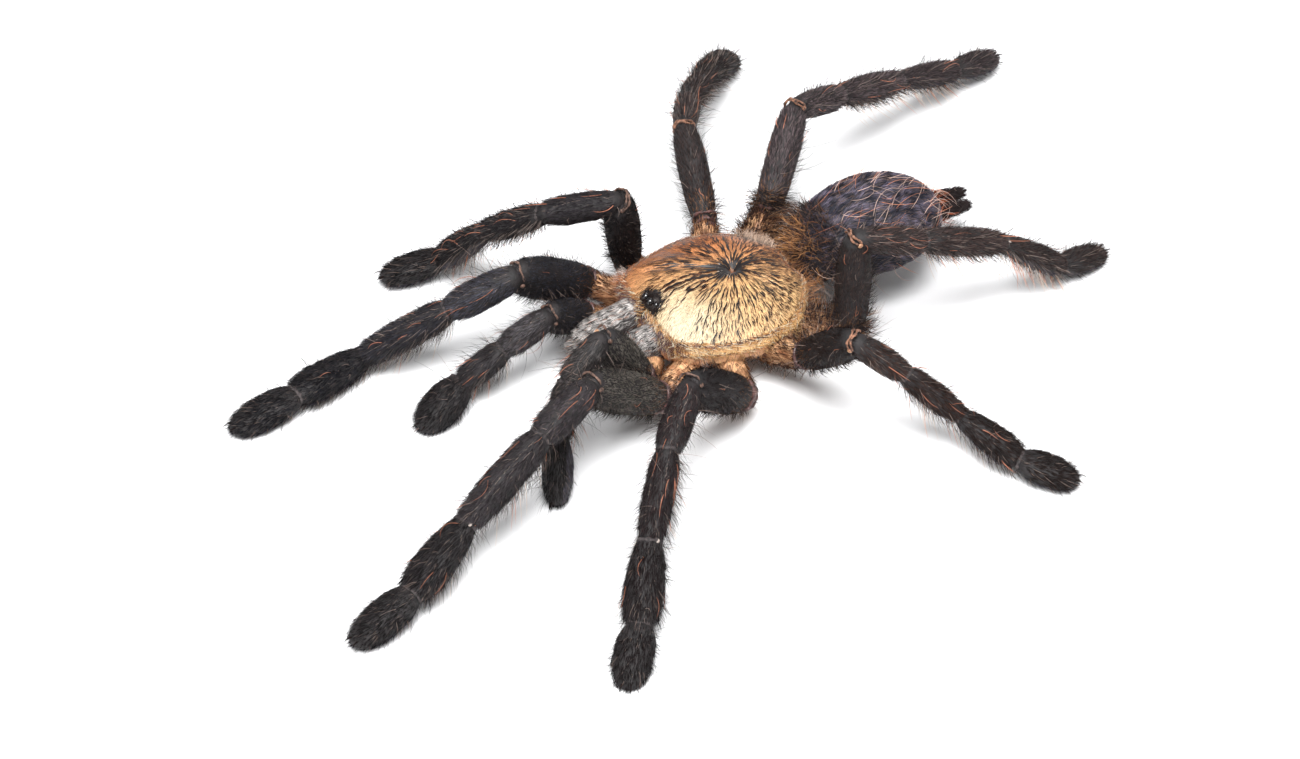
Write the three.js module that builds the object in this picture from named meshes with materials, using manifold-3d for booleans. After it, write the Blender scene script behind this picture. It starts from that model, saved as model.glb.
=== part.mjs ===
// A dried tarantula, spread as a collector's specimen with its ten limbs posed as in life.
// Millimetres, +Z up. The head points towards -Y and the specimen's left side lies towards +X.
// It stands on z = 0 on the flat soles of its feet. Every solid is the outer form of the fur.
import * as THREE from "three";
import { mergeVertices } from "three/addons/utils/BufferGeometryUtils.js";
import Module from "manifold-3d";

const wasm = await Module();
wasm.setup();

// Clearance left between neighbouring pieces.
const GAP = 0.35;
const RAD = Math.PI / 180;

// Colours of the dried specimen.
const GOLD = 0xc08a48;
const SOOT = 0x2b2625;
const SLATE = 0x30303a;
const SILVER = 0x77706c;
const JET = 0x0d0908;

// Plain mesh work

function solidOf(geometry) {
  const bare = geometry.clone();
  bare.deleteAttribute("normal");
  bare.deleteAttribute("uv");
  const merged = mergeVertices(bare, 1e-4);
  const corners = merged.index.array;
  const kept = [];
  for (let i = 0; i < corners.length; i += 3) {
    const [a, b, c] = [corners[i], corners[i + 1], corners[i + 2]];
    if (a !== b && b !== c && c !== a) kept.push(a, b, c);
  }
  const made = new wasm.Mesh({
    numProp: 3,
    vertProperties: merged.attributes.position.array,
    triVerts: new Uint32Array(kept),
  });
  return new wasm.Manifold(made);
}

function geometryOf(solid) {
  const { vertProperties, triVerts } = solid.getMesh();
  const geometry = new THREE.BufferGeometry();
  geometry.setAttribute("position", new THREE.BufferAttribute(new Float32Array(vertProperties), 3));
  geometry.setIndex(new THREE.BufferAttribute(new Uint32Array(triVerts), 1));
  geometry.computeVertexNormals();
  return geometry;
}

const joined = (solids) => solids.reduce((all, one) => all.add(one));

const cutBy = (solid, tools) => tools.reduce((left, tool) => left.subtract(tool), solid);

function reshape(geometry, move) {
  const spots = geometry.attributes.position;
  const spot = new THREE.Vector3();
  for (let i = 0; i < spots.count; i++) {
    spot.fromBufferAttribute(spots, i);
    move(spot);
    spots.setXYZ(i, spot.x, spot.y, spot.z);
  }
  return geometry;
}

// Turned spindles: legs, palps, chelicerae and spinnerets

// A unit spindle from y = 0 to y = 1, from rows of [share of length, share of half size].
function spindle(rows, sides) {
  const [first, last] = [rows[0], rows[rows.length - 1]];
  const profile = [
    new THREE.Vector2(0, first[0] - 0.03),
    ...rows.map(([along, wide]) => new THREE.Vector2(wide, along)),
    new THREE.Vector2(0, last[0] + 0.04),
  ];
  return new THREE.LatheGeometry(profile, sides);
}

// The direction of a heading in degrees (0 is +X, 90 is +Y) and a rise above level.
const directionOf = (heading, rise) =>
  new THREE.Vector3(
    Math.cos(rise * RAD) * Math.cos(heading * RAD),
    Math.cos(rise * RAD) * Math.sin(heading * RAD),
    Math.sin(rise * RAD),
  );

// Lays a spindle along its direction, with its half width level and its half height upright.
function layOut(geometry, start, heading, rise, length, halfWidth, halfHeight, roll = 0) {
  const along = directionOf(heading, rise);
  const side = new THREE.Vector3(Math.sin(heading * RAD), -Math.cos(heading * RAD), 0);
  side.applyAxisAngle(along, roll * RAD);
  const top = new THREE.Vector3().crossVectors(side, along);
  geometry.scale(halfWidth, length, halfHeight);
  geometry.applyMatrix4(new THREE.Matrix4().makeBasis(side, along, top));
  return geometry.translate(start.x, start.y, start.z);
}

// Bends a geometry that stands along Y from 0 to 1 so that it follows a curve.
function bendAlong(geometry, curve) {
  return reshape(geometry, (spot) => {
    const share = THREE.MathUtils.clamp(spot.y, 0, 1);
    const along = curve.getTangent(share);
    const side = new THREE.Vector3(1, 0, 0);
    const top = new THREE.Vector3().crossVectors(side, along).normalize();
    const middle = curve.getPoint(share).addScaledVector(along, spot.y - share);
    spot.copy(middle.addScaledVector(side, spot.x).addScaledVector(top, spot.z));
  });
}

// Cephalothorax: the shield of the carapace above, the breast plate below

const FOVEA_Y = 13.4;
const RIM_Z = 8.2;
const CROWN_Z = 11.6;
const STERNUM_Z = 1.3;
const STERNUM_Y = 10.5;
const SHIELD_SIDES = 34;
const SHIELD_RINGS = 9;
// Half of the shield's rim, from the middle of its front edge to the middle of its rear edge.
const HALF_RIM = [
  [0, 0.1], [4.4, 0.1], [7.6, 0.9], [9.7, 4.4], [11.0, 8.8],
  [11.2, 12.8], [9.9, 17.0], [6.9, 20.4], [3.2, 22.3], [0, 21.9],
];
// Rings under the shield: share of the rim's width, share of its length, height.
const UNDERSIDE = [
  [1, 1, 7.4], [0.8, 0.88, 6.8], [0.58, 0.78, 6.2], [0.52, 0.73, 3.6],
  [0.46, 0.66, 2.0], [0.36, 0.56, STERNUM_Z], [0, 0, STERNUM_Z],
];
// Furrows that run out from the fovea: degrees from straight ahead, depth.
const FURROWS = [[30, 0.55], [70, 0.28], [100, 0.3], [130, 0.3], [160, 0.22]];
const FURROW_WIDTH = 7;

const bell = (offset, width) => Math.exp(-((offset / width) ** 2));

function shieldHeight(x, y, share, turn) {
  const ahead = Math.abs(turn > 180 ? 360 - turn : turn);
  const frontness = THREE.MathUtils.smoothstep(75 - ahead, 0, 50);
  const steepness = THREE.MathUtils.lerp(3.0, 7, frontness);
  const head = 0.9 * bell(x, 4.8) * THREE.MathUtils.smoothstep(12 - y, 0, 6) * (1 - share ** 6);
  const pit = 1.0 * bell(Math.hypot(x, y - FOVEA_Y), 1.0);
  const furrows = FURROWS.reduce((sum, [at, depth]) => sum + depth * bell(ahead - at, FURROW_WIDTH), 0);
  const dome = (CROWN_Z - RIM_Z) * (1 - share ** steepness);
  return RIM_Z + dome + head - pit - furrows * Math.sin(Math.PI * share) ** 2;
}

function cephalothoraxSolid(grow = 0) {
  const mirrored = HALF_RIM.slice(1, -1).reverse().map(([x, y]) => [-x, y]);
  const rimPoints = [...HALF_RIM, ...mirrored].map(([x, y]) => new THREE.Vector3(x, y, 0));
  const rim = new THREE.CatmullRomCurve3(rimPoints, true);
  const rings = SHIELD_RINGS + UNDERSIDE.length;
  const ball = new THREE.SphereGeometry(1, SHIELD_SIDES, rings).rotateX(Math.PI / 2);
  const shell = reshape(ball, (spot) => {
    const ring = Math.round((Math.acos(THREE.MathUtils.clamp(spot.z, -1, 1)) / Math.PI) * rings);
    const turn = ring % rings === 0 ? 0 : (Math.atan2(spot.x, -spot.y) / RAD + 360) % 360;
    const edge = rim.getPoint(turn / 360);
    if (ring <= SHIELD_RINGS) {
      const share = ring / SHIELD_RINGS;
      spot.x = edge.x * share;
      spot.y = FOVEA_Y + (edge.y - FOVEA_Y) * share;
      spot.z = shieldHeight(spot.x, spot.y, share, turn) + grow;
    } else {
      const [wide, long, height] = UNDERSIDE[ring - SHIELD_RINGS - 1];
      spot.x = edge.x * wide;
      spot.y = STERNUM_Y + (edge.y - STERNUM_Y) * long;
      spot.z = height - grow;
    }
    const out = new THREE.Vector3(spot.x, spot.y - STERNUM_Y, 0);
    spot.addScaledVector(out.normalize(), ring % rings === 0 ? 0 : grow);
  });
  return solidOf(shell);
}

// The low turret in front that carries the eyes: centre, half sizes.
const TURRET = { at: [0, 2.0, 10.45], half: [1.7, 1.25, 0.85] };
// Eyes of one side: x, y, z, radius.
const EYES = [
  [0.46, 1.6, 11.1, 0.42], [1.2, 1.25, 10.75, 0.36], [1.3, 2.35, 10.75, 0.32], [0.8, 2.6, 11.0, 0.26],
];

function eyeTurretSolid() {
  const mound = new THREE.SphereGeometry(1, 12, 8).scale(...TURRET.half).translate(...TURRET.at);
  const eyes = [1, -1].flatMap((side) =>
    EYES.map(([x, y, z, radius]) => new THREE.SphereGeometry(radius, 7, 4).translate(side * x, y, z)),
  );
  return joined([mound, ...eyes].map(solidOf));
}

// Abdomen, with the waist that joins it to the cephalothorax

const ABDOMEN = { at: [-2.1, 34.0, 8.0], turn: 5, halfWidth: 7.8, halfLength: 11.3, halfHeight: 6.2 };
const WAIST = { radius: 1.8, z: 6.0, from: 20, to: 27 };

function abdomenSolid(grow = 0) {
  const { at, turn, halfWidth, halfLength, halfHeight } = ABDOMEN;
  const egg = reshape(new THREE.SphereGeometry(1, 24, 13), (spot) => {
    const fullness = 1 + 0.1 * spot.y - 0.05 * spot.y ** 2;
    spot.x *= (halfWidth + grow) * fullness;
    spot.z *= (halfHeight + grow) * fullness;
    spot.y *= halfLength + grow;
  });
  egg.rotateZ(turn * RAD).translate(...at);
  const waistLength = WAIST.to - WAIST.from;
  const waist = new THREE.CylinderGeometry(WAIST.radius + grow, WAIST.radius + grow, waistLength, 10);
  waist.translate(0, (WAIST.from + WAIST.to) / 2, WAIST.z);
  return solidOf(egg).add(solidOf(waist));
}

// The two long spinnerets: where each starts, its heading and its rise.
const SPINNERETS = {
  left: { start: [-1.6, 43.4, 7.0], heading: 92, rise: -6 },
  right: { start: [-4.2, 43.8, 7.2], heading: 88, rise: -4 },
};
const SPINNERET = { length: 6.6, half: 1.1 };
const SPINNERET_ROWS = [[0, 0.95], [0.3, 1.0], [0.36, 0.88], [0.66, 0.92], [0.72, 0.78], [0.94, 0.62]];

function spinneretSolid({ start, heading, rise }) {
  const turned = spindle(SPINNERET_ROWS, 10);
  const { length, half } = SPINNERET;
  return solidOf(layOut(turned, new THREE.Vector3(...start), heading, rise, length, half, half));
}

// Chelicerae, the stout jaws under the front edge, each with a fang folded beneath

const CHELICERA = { x: 2.85, y: 2.2, z: 6.7, length: 10.6, rise: -12, halfWidth: 2.5, halfHeight: 2.75 };
const CHELICERA_ROWS = [[0, 0.8], [0.2, 1.0], [0.5, 1.04], [0.8, 0.94], [0.97, 0.62]];

function cheliceraSolid(side, grow = 0) {
  const { x, y, z, length, rise, halfWidth, halfHeight } = CHELICERA;
  const start = new THREE.Vector3(side * x, y, z);
  const turned = spindle(CHELICERA_ROWS, 12);
  return solidOf(layOut(turned, start, -90, rise, length, halfWidth + grow, halfHeight + grow));
}

// The fang's line in the plane of one jaw: y and z of its root, bend and point.
const FANG = { x: 2.5, root: [-8.0, 3.4], bend: [-8.3, 0.4], point: [-2.6, 0.9], radius: 0.75 };

function fangSolid(side) {
  const at = ([y, z]) => new THREE.Vector3(side * FANG.x, y, z);
  const line = new THREE.QuadraticBezierCurve3(at(FANG.root), at(FANG.bend), at(FANG.point));
  const rows = [[0, 1], [0.25, 0.95], [0.5, 0.75], [0.75, 0.45], [0.96, 0.14]];
  const cone = spindle(rows, 8).scale(FANG.radius, 1, FANG.radius);
  return solidOf(bendAlong(cone, line));
}

// Legs and pedipalps

// Rows of [share of length, share of half size] from each segment's root to its far end.
const SEGMENT_ROWS = {
  coxa: [[-0.25, 0.8], [0.2, 1.0], [1.02, 0.84]],
  femur: [[-0.02, 0.7], [0.2, 0.96], [0.66, 1.05], [1.02, 0.8]],
  patella: [[-0.05, 0.78], [0.3, 1.0], [0.74, 1.04], [1.05, 0.76]],
  tibia: [[-0.04, 0.78], [0.18, 1.0], [0.66, 1.04], [1.03, 0.74]],
  metatarsus: [[-0.04, 0.64], [0.3, 0.92], [0.7, 1.04], [1.03, 0.76]],
  tarsus: [[-0.04, 0.7], [0.25, 1.03], [0.65, 1.04], [0.99, 0.62]],
};
const LEG_SEGMENTS = ["coxa", "femur", "patella", "tibia", "metatarsus", "tarsus"];
const PALP_SEGMENTS = ["coxa", "femur", "patella", "tibia", "tarsus"];
const LIMB_SIDES = 8;
// A joint that bends more than this many degrees is filled by a knuckle.
const KNUCKLE_BEND = 45;
const KNUCKLE_SHARE = 0.8;

// One entry for each pair: hip on the left side, then length, half height and half width by segment.
const PAIRS = {
  pedipalp: {
    hip: [4.4, -0.6, 4.4],
    segments: PALP_SEGMENTS,
    lengths: [4.8, 10.6, 7.0, 7.2, 8.2],
    halfHeights: [1.9, 2.55, 2.0, 1.9, 2.0],
    halfWidths: [1.9, 2.1, 2.0, 2.0, 2.8],
  },
  leg_1: {
    hip: [7.2, 3.2, 4.5],
    segments: LEG_SEGMENTS,
    lengths: [6.9, 16.0, 9.6, 14.0, 11.0, 9.5],
    halfHeights: [2.2, 3.0, 2.25, 2.15, 2.0, 1.85],
    halfWidths: [2.1, 2.4, 2.4, 2.35, 2.85, 2.7],
  },
  leg_2: {
    hip: [8.2, 8.2, 4.4],
    segments: LEG_SEGMENTS,
    lengths: [7.2, 15.3, 9.8, 12.2, 10.6, 8.5],
    halfHeights: [2.2, 3.0, 2.05, 1.9, 2.05, 1.8],
    halfWidths: [2.1, 2.35, 2.15, 2.05, 2.65, 2.55],
  },
  leg_3: {
    hip: [8.0, 13.4, 4.4],
    segments: LEG_SEGMENTS,
    lengths: [7.0, 14.4, 8.1, 9.5, 9.1, 7.6],
    halfHeights: [2.2, 2.5, 1.85, 1.8, 1.85, 1.9],
    halfWidths: [2.1, 2.15, 1.9, 1.85, 2.3, 2.5],
  },
  leg_4: {
    hip: [6.6, 18.6, 4.4],
    segments: LEG_SEGMENTS,
    lengths: [7.5, 15.6, 10.2, 13.1, 12.6, 8.2],
    halfHeights: [2.8, 2.5, 2.0, 1.95, 1.85, 1.75],
    halfWidths: [2.5, 2.25, 2.05, 2.05, 2.0, 2.1],
  },
};

// Each limb's pose from hip to tip: heading and rise of each segment in degrees, and where it is
// twisted about its own length, its roll.
const POSES = {
  left: {
    pedipalp: [[-40, 13], [-95, 59], [-76, -33], [-42, -46], [-29, -36, 80]],
    leg_1: [[-59, -2], [-72, 39], [-66, -8], [-74, -26], [-66, -21], [-73, -11]],
    leg_2: [[-11, -2], [-65, 41], [-45, -13], [-39, -22], [-35, -25], [-39, -17]],
    leg_3: [[20, 17], [7, 44], [59, -38], [52, -39], [28, -19], [42, -10]],
    leg_4: [[57, -5], [87, 89], [86, -20], [89, -22], [92, -40], [102, -14]],
  },
  right: {
    pedipalp: [[-145, -9], [-61, 36], [-88, -22], [-100, -36], [-65, -15]],
    leg_1: [[-145, 2], [-71, 36], [-103, -23], [-120, -36], [-76, 0], [-82, -6]],
    leg_2: [[-164, -6], [-41, 71], [-105, -1], [-153, -38], [-153, -48], [-98, -8]],
    leg_3: [[147, 27], [164, 23], [148, -10], [139, -20], [138, -24], [136, -31]],
    leg_4: [[124, 28], [134, 32], [112, -20], [108, -19], [107, -22], [103, -12]],
  },
};

const SIDES = { left: 1, right: -1 };

const hipOf = (pair, side) => {
  const [x, y, z] = PAIRS[pair].hip;
  return new THREE.Vector3(SIDES[side] * x, y, z);
};

// A limb as one solid: a spindle for each segment and a knuckle in each sharp bend.
function limbSolid(pair, side, grow = 0) {
  const { segments, lengths, halfHeights, halfWidths } = PAIRS[pair];
  const pose = POSES[side][pair];
  const root = hipOf(pair, side);
  const pieces = [];
  segments.forEach((segment, i) => {
    const [heading, rise, roll] = pose[i];
    const turned = spindle(SEGMENT_ROWS[segment], LIMB_SIDES);
    const [wide, high] = [halfWidths[i] + grow, halfHeights[i] + grow];
    pieces.push(layOut(turned, root, heading, rise, lengths[i], wide, high, roll));
    root.addScaledVector(directionOf(heading, rise), lengths[i]);
    const next = pose[i + 1];
    if (next && directionOf(heading, rise).angleTo(directionOf(...next)) > KNUCKLE_BEND * RAD) {
      const radius = KNUCKLE_SHARE * Math.min(halfHeights[i], halfHeights[i + 1]) + grow;
      pieces.push(new THREE.OctahedronGeometry(radius, 1).translate(root.x, root.y, root.z));
    }
  });
  return joined(pieces.map(solidOf));
}

// The specimen

const FLOOR_SIZE = 300;
const FLOOR_DEPTH = 20;
const slab = new THREE.BoxGeometry(FLOOR_SIZE, FLOOR_SIZE, FLOOR_DEPTH);
const floor = solidOf(slab.translate(0, 0, -FLOOR_DEPTH / 2));

const specimen = new THREE.Group();
specimen.name = "tarantula_specimen";

// Adds a solid as a mesh whose own origin is at the given place.
function place(name, solid, at, colour, roughness) {
  const geometry = geometryOf(solid).translate(-at.x, -at.y, -at.z);
  const material = new THREE.MeshStandardMaterial({ color: colour, roughness, metalness: 0 });
  const mesh = new THREE.Mesh(geometry, material);
  mesh.name = name;
  mesh.position.copy(at);
  specimen.add(mesh);
}

const cephalothorax = cephalothoraxSolid().add(eyeTurretSolid());
const cephalothoraxGrown = cephalothoraxSolid(GAP);
const abdomen = cutBy(abdomenSolid(), [cephalothoraxGrown]);
const abdomenGrown = abdomenSolid(GAP);
place("cephalothorax", cephalothorax, new THREE.Vector3(0, FOVEA_Y, RIM_Z), GOLD, 0.6);
place("abdomen", abdomen, new THREE.Vector3(...ABDOMEN.at), SLATE, 0.85);

for (const [side, spinneret] of Object.entries(SPINNERETS)) {
  const solid = cutBy(spinneretSolid(spinneret), [abdomenGrown]);
  place(`spinneret_${side}`, solid, new THREE.Vector3(...spinneret.start), SOOT, 0.85);
}

// What each further piece is cut clear of.
const grown = [cephalothoraxGrown, abdomenGrown];
for (const [sideName, side] of Object.entries(SIDES)) {
  const jaw = cutBy(cheliceraSolid(side), [cephalothoraxGrown]);
  const jawGrown = cheliceraSolid(side, GAP);
  const jawRoot = new THREE.Vector3(side * CHELICERA.x, CHELICERA.y, CHELICERA.z);
  place(`chelicera_${sideName}`, jaw, jawRoot, SILVER, 0.7);
  const fang = cutBy(fangSolid(side), [jawGrown]);
  const fangRoot = new THREE.Vector3(side * FANG.x, ...FANG.root);
  place(`fang_${sideName}`, fang, fangRoot, JET, 0.25);
  grown.push(jawGrown);
}

for (const side of Object.keys(SIDES)) {
  for (const pair of Object.keys(PAIRS)) {
    const limb = cutBy(limbSolid(pair, side), [floor, ...grown]);
    place(`${pair}_${side}`, limb, hipOf(pair, side), SOOT, 0.9);
    grown.push(limbSolid(pair, side, GAP));
  }
}

// The middle of the spread limbs goes to x = 0, y = 0.
const spread = new THREE.Box3().setFromObject(specimen, true);
const middle = spread.getCenter(new THREE.Vector3());
specimen.children.forEach((mesh) => mesh.position.sub(new THREE.Vector3(middle.x, middle.y, 0)));

export default specimen;
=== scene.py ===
import math

import bpy
import numpy as np
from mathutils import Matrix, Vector


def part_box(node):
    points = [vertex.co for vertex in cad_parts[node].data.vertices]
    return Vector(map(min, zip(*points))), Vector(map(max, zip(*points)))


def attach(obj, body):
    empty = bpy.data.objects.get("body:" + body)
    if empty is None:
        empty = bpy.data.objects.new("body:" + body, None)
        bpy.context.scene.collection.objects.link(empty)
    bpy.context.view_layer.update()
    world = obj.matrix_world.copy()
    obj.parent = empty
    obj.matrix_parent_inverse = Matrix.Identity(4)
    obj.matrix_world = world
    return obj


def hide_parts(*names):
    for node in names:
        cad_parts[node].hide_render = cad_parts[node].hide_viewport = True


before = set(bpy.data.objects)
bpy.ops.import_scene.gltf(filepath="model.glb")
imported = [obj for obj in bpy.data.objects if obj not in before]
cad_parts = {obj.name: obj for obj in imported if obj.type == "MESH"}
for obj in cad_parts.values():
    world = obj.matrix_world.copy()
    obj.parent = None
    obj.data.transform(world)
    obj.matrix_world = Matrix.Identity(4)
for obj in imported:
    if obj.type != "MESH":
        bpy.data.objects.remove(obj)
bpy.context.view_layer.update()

# The set: a sheet of white card on a table, one large soft lamp high on the camera's side, one
# weak lamp behind, and the camera at the specimen's left front, looking down at 42 degrees.
MM = 0.001
FRONT_EDGE_Y = 0.036
low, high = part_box("cephalothorax")
PLACE = np.array([(low[0] + high[0]) / 2, low[1] - FRONT_EDGE_Y * MM, 0])


def direction(azimuth, elevation):
    a, e = math.radians(azimuth), math.radians(elevation)
    return np.array([math.sin(a) * math.cos(e), -math.cos(a) * math.cos(e), math.sin(e)])


def aimed(object_, towards):
    object_.rotation_euler = Vector(towards).to_track_quat("-Z", "Y").to_euler()


CAMERA_WAY, CAMERA_DISTANCE = direction(62, 42), 0.5
aim = PLACE + np.array([2.8, 0, 0]) * MM
bpy.ops.object.select_all(action="DESELECT")
bpy.ops.object.camera_add(location=aim + CAMERA_WAY * CAMERA_DISTANCE)
camera = bpy.context.object
aimed(camera, -CAMERA_WAY)
camera.data.sensor_width = 36
camera.data.lens = 108
camera.data.clip_start = 0.01
bpy.context.scene.camera = camera

# Name, azimuth, elevation, distance, size and power.
LAMPS = [
    ("key_lamp", 60, 68, 0.75, 0.46, 11.8),
    ("front_lamp", 20, 30, 0.9, 0.3, 1.2),
    ("rear_lamp", 215, 40, 0.9, 0.4, 0.9),
]
for name, azimuth, elevation, distance, size, power in LAMPS:
    way = direction(azimuth, elevation)
    bpy.ops.object.light_add(type="AREA", location=aim + way * distance)
    lamp = bpy.context.object
    lamp.name = name
    aimed(lamp, -way)
    lamp.data.shape = "DISK"
    lamp.data.size = size
    lamp.data.energy = power

world = bpy.data.worlds.new("white_room")
world.use_nodes = True
room = world.node_tree.nodes["Background"].inputs
room["Color"].default_value = (1, 1, 1, 1)
room["Strength"].default_value = 0.38
bpy.context.scene.world = world
bpy.context.scene.view_settings.view_transform = "Standard"
bpy.context.scene.view_settings.look = "None"

bpy.ops.mesh.primitive_plane_add(size=5, location=(0, 0, -0.00005))
card = bpy.context.object
card.name = "white_card"
card_finish = bpy.data.materials.new("white_card")
card_finish.use_nodes = True
card_shader = card_finish.node_tree.nodes["Principled BSDF"].inputs
card_shader["Base Color"].default_value = (0.93, 0.93, 0.94, 1)
card_shader["Roughness"].default_value = 0.9
card.data.materials.append(card_finish)

# The cephalothorax: one shell of dry cuticle, a domed shield above and a flat breast plate
# below. Furrows run out over the shield from the fovea, a pit where muscles were fixed inside.
FOVEA_Y, STERNUM_Y = 13.4, 10.5
RIM_Z, CROWN_Z = 8.2, 11.6
HALF_RIM = [
    (0, 0.1), (4.4, 0.1), (7.6, 0.9), (9.7, 4.4), (11.0, 8.8),
    (11.2, 12.8), (9.9, 17.0), (6.9, 20.4), (3.2, 22.3), (0, 21.9),
]
# Rows under the rim: shares of the rim's width and length, and height.
UNDERSIDE = [
    (1, 1, 7.4), (0.8, 0.88, 6.8), (0.58, 0.78, 6.2), (0.52, 0.73, 3.6),
    (0.46, 0.66, 2.0), (0.36, 0.56, 1.3), (0, 0, 1.3),
]
# Turn from straight ahead in degrees, and depth.
FURROWS = [(30, 0.55), (70, 0.28), (100, 0.3), (130, 0.3), (160, 0.22)]
# The thickness of the coat, and how far the shield draws in for each millimetre below it.
SHIELD_COAT, DRAWN_IN = 0.16, 0.08
RIM = np.array(HALF_RIM + [(-x, y) for x, y in HALF_RIM[-2:0:-1]])

rng = np.random.default_rng(41)


def tint(red, green, blue):
    """A colour given as on a screen, 0 to 255, as the light it stands for."""
    share = np.array([red, green, blue]) / 255
    return np.where(share <= 0.04045, share / 12.92, ((share + 0.055) / 1.055) ** 2.4)


def unit(vectors):
    return vectors / np.maximum(np.linalg.norm(vectors, axis=-1, keepdims=True), 1e-12)


def smooth(values, start, end):
    share = np.clip((values - start) / (end - start), 0, 1)
    return share * share * (3 - 2 * share)


def bell(offset, width):
    return np.exp(-((offset / width) ** 2))


def column(low, high, count):
    """A random number for each of many hairs, as one column."""
    return rng.uniform(low, high, (count, 1))


def turns_of(ball):
    """Each corner's turn in degrees from straight ahead."""
    return np.degrees(np.arctan2(ball[:, 0], -ball[:, 1])) % 360


def rim_at(turn):
    """The shield's edge at a turn in degrees from straight ahead, by a closed smooth curve."""
    place = (turn / 360 * len(RIM)) % len(RIM)
    step = np.floor(place).astype(int)
    f = (place - step)[:, None]
    a, b, c, d = (RIM[(step + k) % len(RIM)] for k in (-1, 0, 1, 2))
    return 0.5 * (2 * b + (c - a) * f + (2 * a - 5 * b + 4 * c - d) * f**2
                  + (3 * b - a - 3 * c + d) * f**3)


def shield_spots(share, turn, sunk=SHIELD_COAT):
    """Places on the shield, mm, for a share of the way from fovea to rim and a turn."""
    turn = turn % 360
    ahead = np.where(turn > 180, 360 - turn, turn)
    edge = rim_at(turn)
    x = edge[:, 0] * share
    y = FOVEA_Y + (edge[:, 1] - FOVEA_Y) * share
    steepness = 3 + 4 * smooth(75 - ahead, 0, 50)
    head = 0.9 * bell(x, 4.8) * smooth(12 - y, 0, 6) * (1 - share**6)
    pit = 1.0 * bell(np.hypot(x, y - FOVEA_Y), 1.0)
    furrow = sum(depth * bell(ahead - at, 7) for at, depth in FURROWS)
    z = (RIM_Z + (CROWN_Z - RIM_Z) * (1 - share**steepness) + head - pit
         - furrow * np.sin(np.pi * share) ** 2)
    inset = sunk * DRAWN_IN
    return np.stack([x * (1 - inset), y - (y - FOVEA_Y) * inset, z - sunk], axis=1)


def shaped_ball(name, sides, rings, form, finish):
    """A ball whose corners are moved by a form from the unit ball to places in millimetres."""
    bpy.ops.object.select_all(action="DESELECT")
    bpy.ops.mesh.primitive_uv_sphere_add(segments=sides, ring_count=rings, radius=1)
    piece = bpy.context.object
    mesh = piece.data
    piece.name = mesh.name = name
    spots = np.empty(len(mesh.vertices) * 3)
    mesh.vertices.foreach_get("co", spots)
    x, y, z = spots.reshape(-1, 3).T
    # The ball's corners come in any order, so they are put in order: ring by ring, turn by turn.
    ring = np.rint(np.arccos(np.clip(z, -1, 1)) / math.pi * rings)
    turn = np.where(ring % rings == 0, 0, np.rint(np.arctan2(y, x) / math.tau * sides) % sides)
    order = np.lexsort((turn, ring))
    place = np.argsort(order)
    faces = [[int(place[corner]) for corner in face.vertices] for face in mesh.polygons]
    faces = sorted(face[face.index(min(face)):] + face[:face.index(min(face))] for face in faces)
    ring, turn = ring[order] * math.pi / rings, turn[order] * math.tau / sides
    ball = np.stack([np.sin(ring) * np.cos(turn), np.sin(ring) * np.sin(turn), np.cos(ring)], 1)
    mesh.clear_geometry()
    mesh.from_pydata(form(ball) * MM + PLACE, [], faces)
    mesh.update()
    bpy.ops.object.shade_smooth()
    mesh.materials.append(finish)
    return piece


def joined(pieces, name):
    bpy.ops.object.select_all(action="DESELECT")
    for piece in pieces:
        piece.select_set(True)
    bpy.context.view_layer.objects.active = pieces[0]
    bpy.ops.object.join()
    piece = bpy.context.object
    piece.name = piece.data.name = name
    return piece


def finish_of(name, kinds, settings, wires):
    """A finish: the kinds of its further nodes, the nodes' settings, and the wires between."""
    finish = bpy.data.materials.new(name)
    finish.use_nodes = True
    tree = finish.node_tree
    nodes = {key: tree.nodes.new("ShaderNode" + kind) for key, kind in kinds.items()}
    nodes["shader"] = tree.nodes["Principled BSDF"]
    for (node, setting), value in settings.items():
        nodes[node].inputs[setting].default_value = value
    for source, output, target, entry in wires:
        tree.links.new(nodes[source].outputs[output], nodes[target].inputs[entry])
    return finish, nodes


def cuticle(name, dark, light, grain, roughness, bump):
    """Dry skin: two tones in fine clouds, with a pitted surface."""
    finish, nodes = finish_of(
        name,
        {"place": "TexCoord", "clouds": "TexNoise", "pits": "TexVoronoi", "tones": "ValToRGB",
         "relief": "Bump"},
        {("shader", "Roughness"): roughness, ("clouds", "Scale"): grain, ("clouds", "Detail"): 5,
         ("pits", "Scale"): grain * 3, ("relief", "Strength"): bump,
         ("relief", "Distance"): 0.1 * MM},
        [("place", "Object", "clouds", "Vector"), ("place", "Object", "pits", "Vector"),
         ("clouds", "Fac", "tones", "Fac"), ("tones", "Color", "shader", "Base Color"),
         ("pits", "Distance", "relief", "Height"), ("relief", "Normal", "shader", "Normal")])
    stops = nodes["tones"].color_ramp.elements
    for stop, position, colour in zip(stops, (0.35, 0.65), (dark, light)):
        stop.position, stop.color = position, (*colour, 1)
    return finish


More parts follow.
